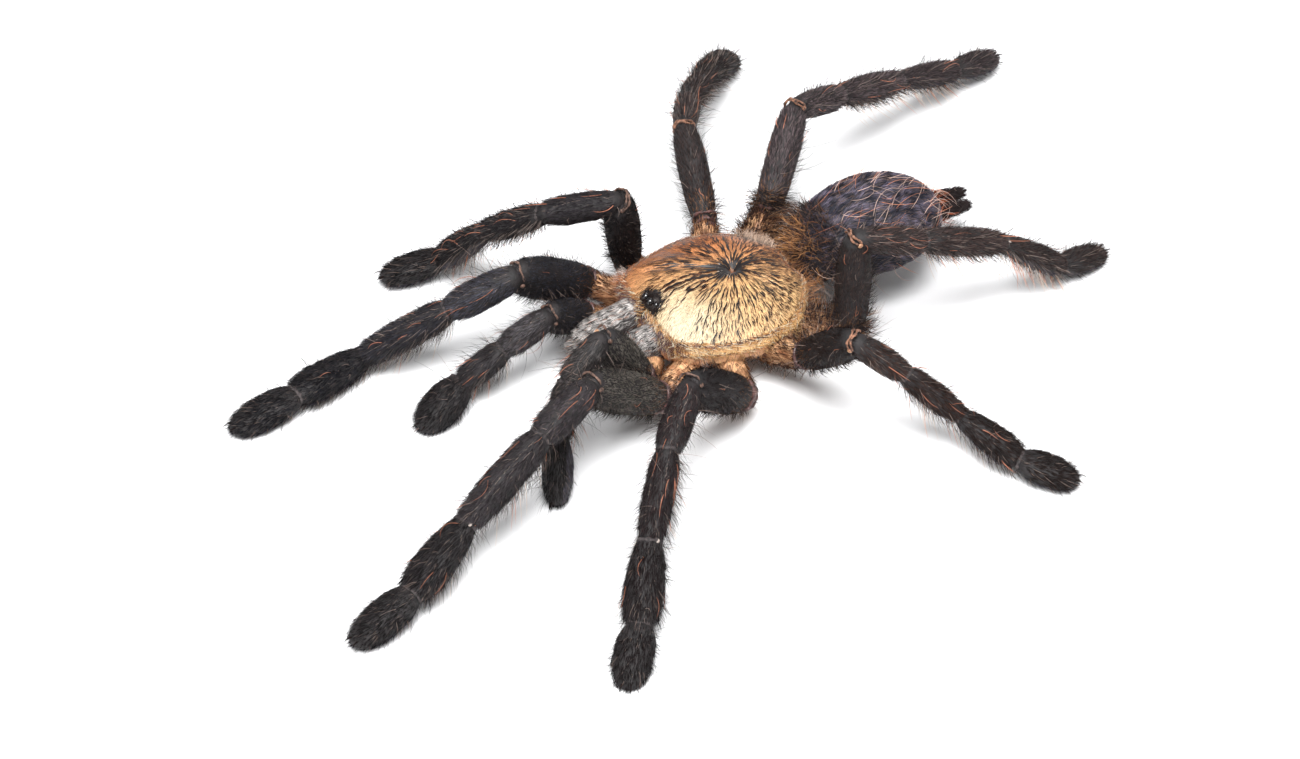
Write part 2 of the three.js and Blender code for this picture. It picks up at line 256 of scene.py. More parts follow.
def hair_finish(name, roughness, gloss, sheen):
    """Hair that carries its own tone at every corner, with a fine streak along each hair."""
    finish, nodes = finish_of(
        name,
        {"tone": "Attribute", "place": "TexCoord", "streak": "TexNoise", "strength": "MapRange",
         "mix": "VectorMath"},
        {("shader", "Roughness"): roughness, ("shader", "Specular IOR Level"): gloss,
         ("shader", "Sheen Weight"): sheen, ("streak", "Scale"): 2600,
         ("strength", "To Min"): 0.75, ("strength", "To Max"): 1.25},
        [("place", "Object", "streak", "Vector"), ("streak", "Fac", "strength", "Value")])
    tone, mix, links = nodes["tone"], nodes["mix"], finish.node_tree.links
    tone.attribute_name = "tone"
    mix.operation = "SCALE"
    links.new(tone.outputs["Color"], mix.inputs[0])
    links.new(nodes["strength"].outputs["Result"], mix.inputs["Scale"])
    links.new(mix.outputs["Vector"], nodes["shader"].inputs["Base Color"])
    return finish


def per_hair(count, *values):
    """One column for each value, which is one number for all hairs or one for each."""
    return (np.full(count, value)[:, None] for value in values)


def blades(roots, ways, bends, faces, lengths, widths, tones, root_share, twist=0.9):
    """Short hairs: each a flat blade of two lengths that comes to a point, in millimetres."""
    count = len(roots)
    lengths, widths = per_hair(count, lengths, widths)
    across = unit(np.cross(ways, faces))
    spin = rng.uniform(-twist, twist, count)[:, None]
    across = across * np.cos(spin) + np.cross(across, ways) * np.sin(spin)
    middles = roots + ways * (lengths * 0.5)
    tips = middles + bends * (lengths * 0.5)
    half = across * (widths / 2)
    corners = np.stack(
        [roots - half, roots + half, middles - half * 0.85, middles + half * 0.85, tips], axis=1)
    root_tones = tones * root_share
    between = (root_tones + tones) / 2
    tones = np.stack([root_tones, root_tones, between, between, tones], axis=1)
    pattern = np.array([[0, 1, 3], [0, 3, 2], [2, 3, 4]])
    triangles = (np.arange(count) * 5)[:, None, None] + pattern
    return corners.reshape(-1, 3), triangles.reshape(-1, 3), tones.reshape(-1, 3)


def strands(roots, ways, bends, lengths, widths, tones, root_share, steps):
    """Long hairs: each a round tapering strand that turns from its root's way to its tip's."""
    count = len(roots)
    lengths, widths = per_hair(count, lengths, widths)
    across = unit(np.cross(ways, bends + np.array([1e-4, 2e-4, 1e-4])))
    centre, rings, shades = roots.copy(), [], []
    for k in range(steps):
        share = k / steps
        way = unit(ways * (1 - share) + bends * share)
        other = np.cross(across, way)
        radius = widths / 2 * (1 - 0.85 * share**1.5)
        for angle in (0, 2.094, 4.189):
            rings.append(centre + radius * (across * math.cos(angle) + other * math.sin(angle)))
            shades.append(tones * root_share * (1 - share) + tones * share)
        centre = centre + way * (lengths / steps)
    rings.append(centre)
    shades.append(tones)
    pattern = []
    for k in range(steps - 1):
        for j in range(3):
            a, b = 3 * k + j, 3 * k + (j + 1) % 3
            pattern += [[a, b + 3, b], [a, a + 3, b + 3]]
    last = 3 * (steps - 1)
    pattern += [[last + j, last + 3, last + (j + 1) % 3] for j in range(3)]
    corners = np.stack(rings, axis=1)
    triangles = (np.arange(count) * corners.shape[1])[:, None, None] + np.array(pattern)
    return corners.reshape(-1, 3), triangles.reshape(-1, 3), np.stack(shades, 1).reshape(-1, 3)


def by_lot(count, *tones_up_to):
    """A tone for each hair by lot: each share says up to where from 0 to 1 its tone counts."""
    lot = rng.random((count, 1))
    tones = np.zeros((count, 3))
    for share, tone in reversed(tones_up_to):
        tones = np.where(lot < share, tint(*tone), tones)
    return tones


def fur(name, sets, finish):
    """All the hairs of one piece as one mesh."""
    starts = np.cumsum([0] + [len(corners) for corners, _, _ in sets[:-1]])
    spots = np.concatenate([corners for corners, _, _ in sets])
    triangles = np.concatenate([t + start for (_, t, _), start in zip(sets, starts)])
    tones = np.concatenate([tones for _, _, tones in sets])
    spots[:, 2] = np.maximum(spots[:, 2], 0.03)
    mesh = bpy.data.meshes.new(name)
    mesh.vertices.add(len(spots))
    mesh.vertices.foreach_set("co", (spots * MM + PLACE).ravel())
    mesh.loops.add(triangles.size)
    mesh.loops.foreach_set("vertex_index", triangles.ravel().astype(np.int32))
    mesh.polygons.add(len(triangles))
    mesh.polygons.foreach_set("loop_start", np.arange(0, triangles.size, 3, dtype=np.int32))
    mesh.update(calc_edges=True)
    tone = mesh.color_attributes.new("tone", "FLOAT_COLOR", "POINT")
    tone.data.foreach_set("color", np.column_stack([tones, np.ones(len(tones))]).ravel())
    mesh.materials.append(finish)
    piece = bpy.data.objects.new(name, mesh)
    bpy.context.collection.objects.link(piece)
    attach(piece, "root")


SHIELD_RINGS, RINGS_IN_ALL = 36, 50


def cephalothorax_form(ball):
    ring = np.rint(np.arccos(np.clip(ball[:, 2], -1, 1)) / math.pi * RINGS_IN_ALL)
    turn = turns_of(ball)
    shield = shield_spots(np.clip(ring / SHIELD_RINGS, 0, 1), turn)
    below = (ring - SHIELD_RINGS) / (RINGS_IN_ALL - SHIELD_RINGS) * len(UNDERSIDE) - 1
    inner = 1 - SHIELD_COAT * DRAWN_IN
    rows = np.array([(inner, inner, RIM_Z - 0.2)] + UNDERSIDE)
    wide, long, height = (np.interp(below, np.arange(len(rows)) - 1, row) for row in rows.T)
    edge = rim_at(turn)
    under = np.stack([edge[:, 0] * wide, STERNUM_Y + (edge[:, 1] - STERNUM_Y) * long, height], 1)
    return np.where((ring <= SHIELD_RINGS)[:, None], shield, under)


carapace = shaped_ball(
    "cephalothorax_shell", 120, RINGS_IN_ALL, cephalothorax_form,
    cuticle("brown_shell", tint(70, 42, 28), tint(120, 74, 44), 900, 0.5, 0.4))
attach(carapace, "root")
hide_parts("cephalothorax")

# The carapace's coat: short golden hair that lies flat and runs out from the fovea in every
# direction, broken by fine black lines and dashes where the dark cuticle shows through it.
PALE, GOLD = tint(255, 240, 206), tint(255, 208, 146)
ORANGE, BROWN = tint(222, 138, 82), tint(130, 74, 44)
BLACK, PLUM = tint(18, 12, 12), tint(88, 58, 62)


def ribbons(centres, asides, halves, tones):
    """Thin flat lines on a surface: rows of middles, ways aside, half widths, and one tone each."""
    count, steps = halves.shape
    across = asides * halves[:, :, None]
    corners = np.stack([centres - across, centres + across], axis=2).reshape(-1, 3)
    pattern = []
    for k in range(steps - 1):
        pattern += [[2 * k, 2 * k + 1, 2 * k + 3], [2 * k, 2 * k + 3, 2 * k + 2]]
    triangles = (np.arange(count) * 2 * steps)[:, None, None] + np.array(pattern)
    return corners, triangles.reshape(-1, 3), np.repeat(tones, 2 * steps, axis=0)


# Twice as many places as hairs are drawn, and the farther off the rim lies on a place's way
# out, the likelier it stays, so that the hair is equally dense all over.
COUNT = 50000
turn = rng.random(COUNT * 2) * 360
share = np.sqrt(rng.random(COUNT * 2)) * 0.995
reach = np.hypot(*(rim_at(turn) - [0, FOVEA_Y]).T)
kept = rng.random(COUNT * 2) < (reach / 13.5) ** 2
turn, share, reach = (values[kept][:COUNT] for values in (turn, share, reach))
roots = shield_spots(share, turn)
outward = unit(shield_spots(np.minimum(share + 0.01, 1), turn) - shield_spots(share - 0.01, turn))
around = unit(shield_spots(share, turn + 0.5) - shield_spots(share, turn - 0.5))
facing = unit(np.cross(outward, around))
facing *= np.sign(facing[:, 2:3])


def wander(share, turn):
    return 0.6 * np.sin(share * 23 + turn * 0.21) + 0.5 * np.sin(share * 47 + turn * 0.5)


def off_turn(turn):
    """A turn in degrees as an offset of -180 to 180."""
    return (turn + 180) % 360 - 180


# Lines in tiers from the fovea outwards: how many, where they run, longest, gap, half width.
ONCE = 1.0
TIERS = [
    (15, 0.012, 0.02, 0.15, ONCE, 0.2), (36, 0.05, 0.09, 0.32, ONCE, 0.13),
    (70, 0.24, 0.6, 0.26, 0.015, 0.09), (118, 0.44, 0.82, 0.15, 0.02, 0.068),
    (180, 0.68, 0.97, 0.07, 0.03, 0.056),
]
marks = []
for lines, first, last, longest, gap, half in TIERS:
    for k in range(lines):
        at = (k + rng.uniform(-0.35, 0.35)) * 360 / lines
        spot = first + rng.uniform(0, 0.04 if gap == ONCE else 0.12)
        while spot < last + (0.06 if gap == ONCE else 0):
            length = rng.uniform(0.4, 1) * longest
            # Both front corners stay almost bare of lines, and so does the middle in front.
            cheek = max(bell(off_turn(at - 31), 24) * (spot > 0.42),
                        bell(off_turn(at + 27), 16) * (spot > 0.7))
            if rng.random() > cheek and 6 < at % 360 < 354 or spot < 0.05:
                marks.append((at, spot, min(spot + length, 0.97),
                              half * rng.uniform(0.55, 1.2)))
            spot += length + gap * rng.uniform(0.5, 2.2)
marks = np.array(marks)
steps = np.linspace(0, 1, 8)
along = marks[:, 1:2] + (marks[:, 2:3] - marks[:, 1:2]) * steps
turns = marks[:, :1] + wander(along, marks[:, :1])
centres, asides = (shield_spots(along.ravel(), turns.ravel() + more, -0.08).reshape(*along.shape, 3)
                   for more in (0, 0.5))
halves = marks[:, 3:4] * np.array([0.2, 0.75, 1.0, 0.9, 1.0, 0.85, 0.6, 0.1])
halves = halves * rng.uniform(0.75, 1.25, halves.shape)
inks = BLACK * column(0.5, 1.8, len(marks))
lines = ribbons(centres, unit(asides - centres), halves, inks)

# The double dark line from the fovea to the eyes, and a few bold strokes beside it: both ends
# of each, and its half width.
STROKES = [
    (0.24, 12.9, 0.34, 10.6, 0.13), (0.34, 10.4, 0.5, 8.0, 0.16), (0.5, 7.9, 0.52, 6.2, 0.14),
    (0.52, 6.0, 0.42, 3.3, 0.17), (-0.2, 12.9, -0.3, 10.9, 0.12), (-0.3, 10.7, -0.28, 8.6, 0.13),
    (-0.28, 8.4, -0.22, 5.6, 0.1), (-0.22, 5.5, -0.2, 3.5, 0.14), (0.1, 9.4, 0.16, 7.2, 0.07),
    (1.75, 6.5, 1.9, 5.6, 0.15), (2.1, 6.6, 2.28, 5.7, 0.12), (1.9, 8.6, 2.1, 7.8, 0.12),
    (1.3, 8.9, 1.45, 8.0, 0.11), (2.9, 9.6, 3.2, 8.8, 0.13), (-1.2, 9.0, -1.4, 7.9, 0.08),
    (0.0, 14.2, 0.3, 17.2, 0.14), (0.3, 17.3, 0.2, 19.6, 0.1), (-0.4, 15.0, -0.5, 17.0, 0.09),
]
strokes = np.array(STROKES)
spots = strokes[:, None, :2] + (strokes[:, None, 2:4] - strokes[:, None, :2]) * steps[:, None]
spots = spots + 0.06 * np.sin(spots[:, :, 1:] * 5 + spots[:, :, :1] * 9) * np.array([1, 0])
ahead = spots[:, :, 1] < FOVEA_Y
parts = np.abs(FOVEA_Y - spots[:, :, 1]) / np.where(ahead, 13.3, 8.5)
aside = spots[:, :, 0] / parts / 0.22
turns = np.where(ahead, aside, 180 - aside * 1.35)
centres = shield_spots(parts.ravel(), turns.ravel(), -0.1).reshape(*parts.shape, 3)
halves = strokes[:, 4:5] * np.array([0.3, 0.8, 1.0, 0.9, 1.0, 0.9, 0.7, 0.2])
bold = ribbons(centres, np.tile([1.0, 0, 0], (*parts.shape, 1)), halves,
               np.tile(BLACK, (len(strokes), 1)))

# Hair whose root lies on a line is left out, apart from a few that stray across it.
bare = np.zeros(len(roots), bool)
for at, start, end, half in marks:
    across = np.abs(np.radians(off_turn(turn - wander(share, at) - at))) * reach * share
    bare |= (across < half * 0.8) & (share > start) & (share < end)
bare &= rng.random(len(roots)) < 0.8
bare |= np.hypot(roots[:, 0], roots[:, 1] - FOVEA_Y) < 0.3
for x0, y0, x1, y1, half in STROKES:
    t = np.clip((roots[:, 1] - y0) / (y1 - y0), 0, 1)
    beside = np.abs(roots[:, 0] - x0 - (x1 - x0) * t) < half + 0.03
    bare |= beside & (roots[:, 1] < max(y0, y1) + 0.5) & (roots[:, 1] > min(y0, y1))
turn, share, roots, outward, around, facing = (
    values[~bare] for values in (turn, share, roots, outward, around, facing))


def blend(some, others, share):
    return some * (1 - share) + others * share


# Gold on the left and orange on the right, palest towards the left front corner: the coat's own
# gold and orange, with painted light over it. The left side, which faces the lamps, is painted
# paler, the right side and its extra brown hairs are painted darker, and the left front corner
# carries a painted highlight.
x, y = roots[:, 0], roots[:, 1]
count = len(roots)
side = smooth(x + 0.25 * (12 - y), -8, 6)[:, None]
# A painted highlight: hair paler towards the left front corner.
front = (bell(turn - 38, 36) * smooth(share, 0.3, 0.75))[:, None]
edge = smooth(share, 0.88, 1.0)[:, None]
tones = blend(ORANGE, GOLD, side)
tones = tones * (1 - front * 0.9) + PALE * front * 0.9
tones = tones * (1 - edge * 0.8) + blend(ORANGE, tint(238, 190, 122), side) * edge * 0.8
patch = bell(np.hypot(x + 5.9, y - 19.9), 2.4)[:, None]
tones = tones * (1 - patch * 0.75) + tint(240, 222, 204) * patch * 0.75
tones *= column(0.55, 1.2, count)
# More brown hairs on the right side: partly painted shade.
umber = rng.random(count) < 0.06 * (1 - front[:, 0]) + 0.16 * (1 - side[:, 0])
tones[umber] = BROWN
mask = bell(np.hypot(x / 2.2, (y - 1.8) / 1.7), 1.0) + rng.normal(0, 0.1, count) > 0.37
tones[mask] = BLACK * column(0.7, 2.5, mask.sum())
sway = rng.normal(0, 0.11, (count, 1))
lift = column(0.06, 0.26, count)
ways = unit(outward + facing * lift + around * sway)
bends = unit(outward + facing * lift * 0.1 + around * sway * 1.6)
coat = blades(roots, ways, bends, facing, rng.uniform(0.5, 0.95, count),
              rng.uniform(0.045, 0.075, count), tones, 0.4, twist=0.45)

# Small whitish blades just in front of the fovea: painted highlights between the lines.
FOVEA_GLINTS = 70
turn = rng.uniform(-60, 80, FOVEA_GLINTS)
share = rng.uniform(0.05, 0.15, FOVEA_GLINTS)
roots = shield_spots(share, turn, -0.02)
ways = unit(shield_spots(share + 0.02, turn, -0.02) - roots + rng.normal(0, 0.03, (FOVEA_GLINTS, 3)))
white = tint(232, 222, 212) * column(0.6, 1.1, FOVEA_GLINTS)
fovea_glints = blades(roots, ways, ways, np.array([0, 0, 1.0]), 0.4, 0.06, white, 1)

# The margin: longer hair that lies along the edge and over it, a plum-brown strip in front, and a
# painted shadow line of plum hair just inside the left margin.
FRINGE = 6400
turn = rng.random(FRINGE) * 360
share = rng.uniform(0.93, 1.0, FRINGE)
fore = np.abs(off_turn(turn)) < 36
roots = shield_spots(share, turn, 0.05)
roots[:, 2] -= rng.uniform(0, 0.9, FRINGE) * (share > 0.97)
outward = unit(np.column_stack([roots[:, 0], roots[:, 1] - FOVEA_Y, np.zeros(FRINGE)]))
around = unit(shield_spots(share, turn + 0.5) - shield_spots(share, turn - 0.5))
around *= np.where(turn < 180, 1, -1)[:, None]
up = np.array([0, 0, 1.0])
slant = np.where(rng.random(FRINGE) < 0.9, 1.0, -0.4)[:, None] * column(0.6, 1, FRINGE)
slant[fore] *= 0.3
ways = unit(outward * 0.3 + around * slant + up * column(-0.2, 0.08, FRINGE))
bends = unit(outward * 0.1 + around * slant * 1.3 - up * column(0.1, 0.5, FRINGE))
warm = rng.random((FRINGE, 1))
# The fringe is painted paler on the left side, which faces the lamps: painted light over its own
# orange.
near_side = smooth(roots[:, 0] + 0.3 * (12 - roots[:, 1]), -4, 5)[:, None]
tones = blend(blend(tint(172, 108, 74), ORANGE, warm),
              blend(tint(204, 136, 82), tint(236, 186, 118), warm), near_side)
light = rng.random(FRINGE)
tones[light < 0.18] = PALE
tones[(light > 0.88) & (share < 0.965)] = PLUM
# A painted shadow: a line of plum hair just inside the margin on the left side.
tones[(light > 0.4) & (share > 0.945) & (share < 0.958) & (np.abs(turn - 62) < 42)] = PLUM
tones[fore & (light > 0.3) & (share > 0.95)] = PLUM * 1.1
tones[fore & (light > 0.85) & (share > 0.95)] = tint(168, 150, 150)
tones *= column(0.7, 1.1, FRINGE)
fringe = blades(roots, ways, bends, unit(outward + up), rng.uniform(0.7, 1.5, FRINGE), 0.055,
                tones, 0.5)
# A small brush at each front corner, and pale fluff on the rear margin of the right side: turn,
# spread, inner edge, hairs, lean and tone.
TUFTS = [
    (38, 5, 0.94, 150, (0.7, -0.6, 0.1), tint(112, 72, 54)),
    (-38, 5, 0.94, 200, (-0.7, -0.6, 0.1), tint(192, 122, 78)),
    (-44, 4, 0.96, 120, (-0.8, -0.6, 0.4), tint(214, 192, 180)),
    (217, 6, 0.88, 420, (-0.5, 0.8, 0.5), tint(220, 188, 164)),
]
brushes = []
for corner, spread, inner, many, lean, tone in TUFTS:
    spots = shield_spots(rng.uniform(inner, 1, many), corner + rng.normal(0, spread, many), 0.1)
    away = unit(np.array(lean) + rng.normal(0, 0.35, (many, 3)))
    warm = tone * column(0.4, 1.1, many)
    brushes.append(blades(spots, away, unit(away - up * 0.5), up, rng.uniform(0.8, 1.8, many),
                          0.055, warm, 0.5))
golden_hair = hair_finish("golden_hair", 0.45, 0.35, 0.15)
fur("carapace_coat", [coat, lines, bold, fovea_glints, fringe, *brushes], golden_hair)

# The soft side skin: a folded peach-coloured membrane that joins the shield's rim to the hips
# of the legs all the way round, with a thin down of tan hair.
SIDE_ROWS = np.array([(0, 7.9), (0.6, 7.9), (0.93, 7.8), (0.975, 7.0), (0.97, 6.0), (0.9, 5.0),
                      (0.6, 4.2), (0, 4.1)])


def side_skin_form(ball):
    ring = np.arccos(np.clip(ball[:, 2], -1, 1)) / math.pi * (len(SIDE_ROWS) - 1)
    turn = turns_of(ball)
    wide, height = (np.interp(ring, np.arange(len(SIDE_ROWS)), row) for row in SIDE_ROWS.T)
    fold = 1 + 0.018 * np.sin(np.radians(turn) * 16) + 0.01 * np.sin(np.radians(turn) * 41 + ring)
    edge = rim_at(turn)
    wide = wide * np.where(ring % 7 == 0, 1, fold)
    return np.stack([edge[:, 0] * wide, STERNUM_Y + (edge[:, 1] - STERNUM_Y) * wide, height], 1)


side_skin = shaped_ball(
    "side_skin", 144, 42, side_skin_form,
    cuticle("peach_skin", tint(190, 132, 92), tint(238, 190, 146), 500, 0.45, 0.5))
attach(side_skin, "root")

# The eye turret: a black mound on the front of the shield, with eight glassy eyes set in it,
# the two in front the largest, and dark bristles round and between them.
SIDES = {"left": 1, "right": -1}
TURRET_AT, TURRET_HALF = np.array([0, 2.1, 10.3]), np.array([1.9, 1.45, 0.95])
# Place and radius of the left four.
EYES = [(0.58, 1.2, 11.0, 0.52), (1.3, 1.7, 10.8, 0.4), (1.3, 2.5, 10.75, 0.36),
        (0.65, 2.6, 11.0, 0.27)]
turret = shaped_ball(
    "eye_turret", 40, 24,
    lambda ball: TURRET_AT + ball * TURRET_HALF * (1 + 0.04 * np.sin(ball[:, :1] * 9)),
    cuticle("turret_shell", tint(14, 10, 10), tint(40, 28, 24), 1500, 0.35, 0.5))
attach(turret, "root")


def glassy(name, colour):
    finish = cuticle(name, colour * 0.5, colour, 700, 0.06, 0.0)
    shader = finish.node_tree.nodes["Principled BSDF"].inputs
    shader["Coat Weight"].default_value = 1
    shader["Coat Roughness"].default_value = 0.03
    return finish


eye_glass = glassy("eye_glass", tint(16, 12, 14))
eyes = []
for side in SIDES.values():
    for x, y, z, radius in EYES:
        centre = np.array([side * x, y, z])
        eyes.append(shaped_ball("eye", 24, 14, lambda ball: centre + ball * radius, eye_glass))
eyes = joined(eyes, "eyes")
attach(eyes, "root")


def scatter(piece, count):
    """Roots spread evenly over a piece, and the way its surface faces there, in millimetres."""
    mesh = piece.data
    mesh.calc_loop_triangles()
    spots, normals = (np.empty(len(mesh.vertices) * 3) for _ in range(2))
    mesh.vertices.foreach_get("co", spots)
    mesh.vertices.foreach_get("normal", normals)
    spots = (spots.reshape(-1, 3) - PLACE) / MM
    normals = normals.reshape(-1, 3)
    corners = np.empty(len(mesh.loop_triangles) * 3, dtype=np.int32)
    mesh.loop_triangles.foreach_get("vertices", corners)
    corners = corners.reshape(-1, 3)
    a, b, c = (spots[corners[:, k]] for k in range(3))
    area = np.linalg.norm(np.cross(b - a, c - a), axis=1) / 2
    chosen = corners[rng.choice(len(corners), count, p=area / area.sum())]
    u, v = rng.random((2, count))
    over = u + v > 1
    u[over], v[over] = 1 - u[over], 1 - v[over]
    weights = np.stack([1 - u - v, u, v], axis=1)[:, :, None]
    return (spots[chosen] * weights).sum(1), unit((normals[chosen] * weights).sum(1))


roots, facing = scatter(turret, 900)
above = facing[:, 2] > 0.05
roots, facing = roots[above], facing[above]
ways = unit(facing + rng.normal(0, 0.35, facing.shape))
bends = unit(ways + np.array([0, -0.4, -0.3]))
dark = np.tile(tint(34, 24, 22) * 1.5, (len(roots), 1))
turret_hair = blades(roots, ways, bends, unit(np.cross(ways, up)),
                     rng.uniform(0.3, 0.8, len(roots)), 0.06, dark, 2 / 3)
black_hair = hair_finish("black_hair", 0.4, 0.5, 0.0)
fur("turret_bristles", [turret_hair], black_hair)

# The chelicerae: two stout barrels side by side under the shield's front edge, clothed in
# silver-grey hair that lies forwards and down, with a bare dark line where the two meet.
CHELICERA_X, CHELICERA_Y, CHELICERA_Z = 2.85, 2.2, 6.7
CHELICERA_POSE, CHELICERA_LENGTH, CHELICERA_HALF = (-90, -12), 10.6, (2.25, 2.5)
CHELICERA_ROWS = [(-0.22, 0.8), (0, 0.95), (0.2, 1.0), (0.5, 1.04), (0.8, 0.94), (0.97, 0.62)]
LOCK = 1.45
SILVER, SLATE = tint(218, 211, 206), tint(84, 78, 80)


class Spindle:
    """A turned form along a line: its rows give the share of its half size along its length."""

    def __init__(self, rows, start, pose, length, wide, high):
        self.first, self.last = rows[0][0] - 0.03, rows[-1][0] + 0.04
        fine = np.linspace(self.first, self.last, 121)
        share = np.interp(fine, *zip(*rows))
        padded = np.concatenate([np.full(8, share[0]), share, np.full(8, share[-1])])
        self.fine, self.share = fine, np.convolve(padded, np.full(17, 1 / 17), "valid")
        self.start, self.length, self.wide, self.high = np.array(start, float), length, wide, high
        # The pose is a heading, a rise and, where it is twisted, a roll, in degrees.
        heading, rise, roll = (math.radians(angle) for angle in (*pose, 0)[:3])
        self.along = np.array([math.cos(rise) * math.cos(heading),
                               math.cos(rise) * math.sin(heading), math.sin(rise)])
        level = np.array([math.sin(heading), -math.cos(heading), 0])
        self.side = level * math.cos(roll) + np.cross(self.along, level) * math.sin(roll)
        self.top = np.cross(self.side, self.along)

    def girth(self, at):
        end = 2 * (at - self.first) / (self.last - self.first) - 1
        return np.interp(at, self.fine, self.share) * np.sqrt(np.clip(1 - np.abs(end) ** 9, 0, 1))

    def form(self, ball):
        at = self.first + (self.last - self.first) * (ball[:, 2] + 1) / 2
        girth = self.girth(at)[:, None]
        round_ = unit(ball[:, :2])
        return (self.start + self.along * (at * self.length)[:, None]
                + self.top * round_[:, :1] * girth * self.high
                + self.side * round_[:, 1:] * girth * self.wide)

    def skin(self, name, finish, sides=26, rings=20):
        return shaped_ball(name, sides, rings, self.form, finish)

    def read(self, spots):
        """Share of the length, and level and upright offsets, of places in millimetres."""
        offset = spots - self.start
        return offset @ self.along / self.length, offset @ self.side, offset @ self.top

    def holds(self, spots, slack=0.96):
        at, level, upright = self.read(spots)
        inside = (at > self.first) & (at < self.last)
        girth = np.maximum(self.girth(np.clip(at, self.first, self.last)), 1e-6) * slack
        return inside & ((level / self.wide) ** 2 + (upright / self.high) ** 2 < girth**2)


silver_hair = hair_finish("silver_hair", 0.45, 0.4, 0.1)
jaw_skin = cuticle("jaw_skin", tint(22, 18, 18), tint(52, 46, 46), 1100, 0.6, 0.4)
for side_name, side in SIDES.items():
    barrel = Spindle(CHELICERA_ROWS, (side * CHELICERA_X, CHELICERA_Y, CHELICERA_Z),
                     CHELICERA_POSE, CHELICERA_LENGTH, *CHELICERA_HALF)
    skin = barrel.skin(f"chelicera_{side_name}_skin", jaw_skin, 36, 26)
    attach(skin, "root")
    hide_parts(f"chelicera_{side_name}")
    roots, facing = scatter(skin, 12500)
    at, level, upright = barrel.read(roots)
    inner = level * side / barrel.wide
    kept = (at > 0.06) & ((inner < 0.72) | (rng.random(len(at)) < 0.15))
    roots, facing, at, upright, inner = (v[kept] for v in (roots, facing, at, upright, inner))
    count = len(roots)
    around = unit(np.cross(facing, barrel.along))
    sway = rng.normal(0, 0.09, (count, 1)) + 0.16 * np.sin(at * 30 + inner * 3)[:, None]
    ways = unit(barrel.along + facing * column(0.08, 0.25, count) + around * sway)
    bends = unit(barrel.along + facing * 0.03 + around * sway * 1.5)
    # The locks lie in steps, with a dark line after each.
    step = (at * CHELICERA_LENGTH + 0.35 * np.sin(inner * 4 + side)) / LOCK % 1
    # Silver on top fading to slate underneath: painted light from above and painted shade below,
    # over the coat's own silver.
    tones = blend(SLATE, SILVER, np.clip(0.45 + 0.6 * (upright / barrel.high), 0, 1)[:, None])
    tones *= (1 - 0.93 * bell(step - 0.5, 0.15))[:, None]
    tones *= column(0.55, 1.2, count)
    ink = rng.random(count)
    tones[ink < 0.17] = tint(22, 18, 20)
    tones[ink > 0.965] = tint(176, 120, 92)
    lengths = rng.uniform(0.7, 1.35, count)
    sets = [blades(roots, ways, bends, facing, lengths, rng.uniform(0.05, 0.08, count), tones,
                   0.45, twist=0.5)]
    beard = np.flatnonzero(upright < -0.3 * barrel.high)[:900]
    tones = tint(120, 74, 56) * column(0.5, 1.2, len(beard))
    sets.append(blades(
        roots[beard], unit(ways[beard] - up * 0.6), unit(bends[beard] - up * 0.3), facing[beard],
        rng.uniform(1.2, 2.2, len(beard)), 0.07, tones, 0.6))
    fur(f"chelicera_{side_name}_coat", sets, silver_hair)

# The fangs: one hard black hook under each jaw, folded back against it, smooth and glossy.
FANG_X, FANG_LINE, FANG_RADIUS = 2.5, [(-8.0, 3.4), (-8.3, 0.4), (-2.6, 0.9)], 0.75
FANG_ROWS = [(0, 1), (0.25, 0.95), (0.5, 0.75), (0.75, 0.45), (0.96, 0.14)]
fang_finish = glassy("fang_horn", tint(24, 14, 12))
for side_name, side in SIDES.items():
    root, bend, point = (np.array([side * FANG_X, y, z]) for y, z in FANG_LINE)

    def fang_form(ball):
        t = ((ball[:, 2] + 1) / 2)[:, None]
        middle = root * (1 - t) ** 2 + bend * 2 * t * (1 - t) + point * t**2
        along = unit((bend - root) * (1 - t) + (point - bend) * t)
        level = np.array([1.0, 0, 0])
        top = np.cross(level, along)
        girth = np.interp(t[:, 0], *zip(*FANG_ROWS)) * FANG_RADIUS
        girth = (girth * np.sqrt(np.clip(1 - np.abs(2 * t[:, 0] - 1) ** 12, 0, 1)))[:, None]
        round_ = unit(ball[:, :2])
        return middle + level * round_[:, 1:] * girth + top * round_[:, :1] * girth

    fang = shaped_ball(f"fang_{side_name}_horn", 24, 26, fang_form, fang_finish)
    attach(fang, "root")
    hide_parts(f"fang_{side_name}")

# Legs and palps: jointed tubes of dark cuticle in a short velvety coat. Each has a fringe of
# pale hair below, fine erect hairs above, long curved orange bristles and thin bare lines.
SEGMENT_ROWS = {
    "coxa": [(-0.25, 0.8), (0.2, 1.0), (1.02, 0.84)],
    "femur": [(-0.02, 0.7), (0.2, 0.96), (0.66, 1.05), (1.02, 0.8)],
    "patella": [(-0.05, 0.78), (0.3, 1.0), (0.74, 1.04), (1.05, 0.76)],
    "tibia": [(-0.04, 0.78), (0.18, 1.0), (0.66, 1.04), (1.03, 0.74)],
    "metatarsus": [(-0.04, 0.64), (0.3, 0.92), (0.7, 1.04), (1.03, 0.76)],
    "tarsus": [(-0.04, 0.7), (0.25, 1.03), (0.65, 1.04), (0.99, 0.62)],
}
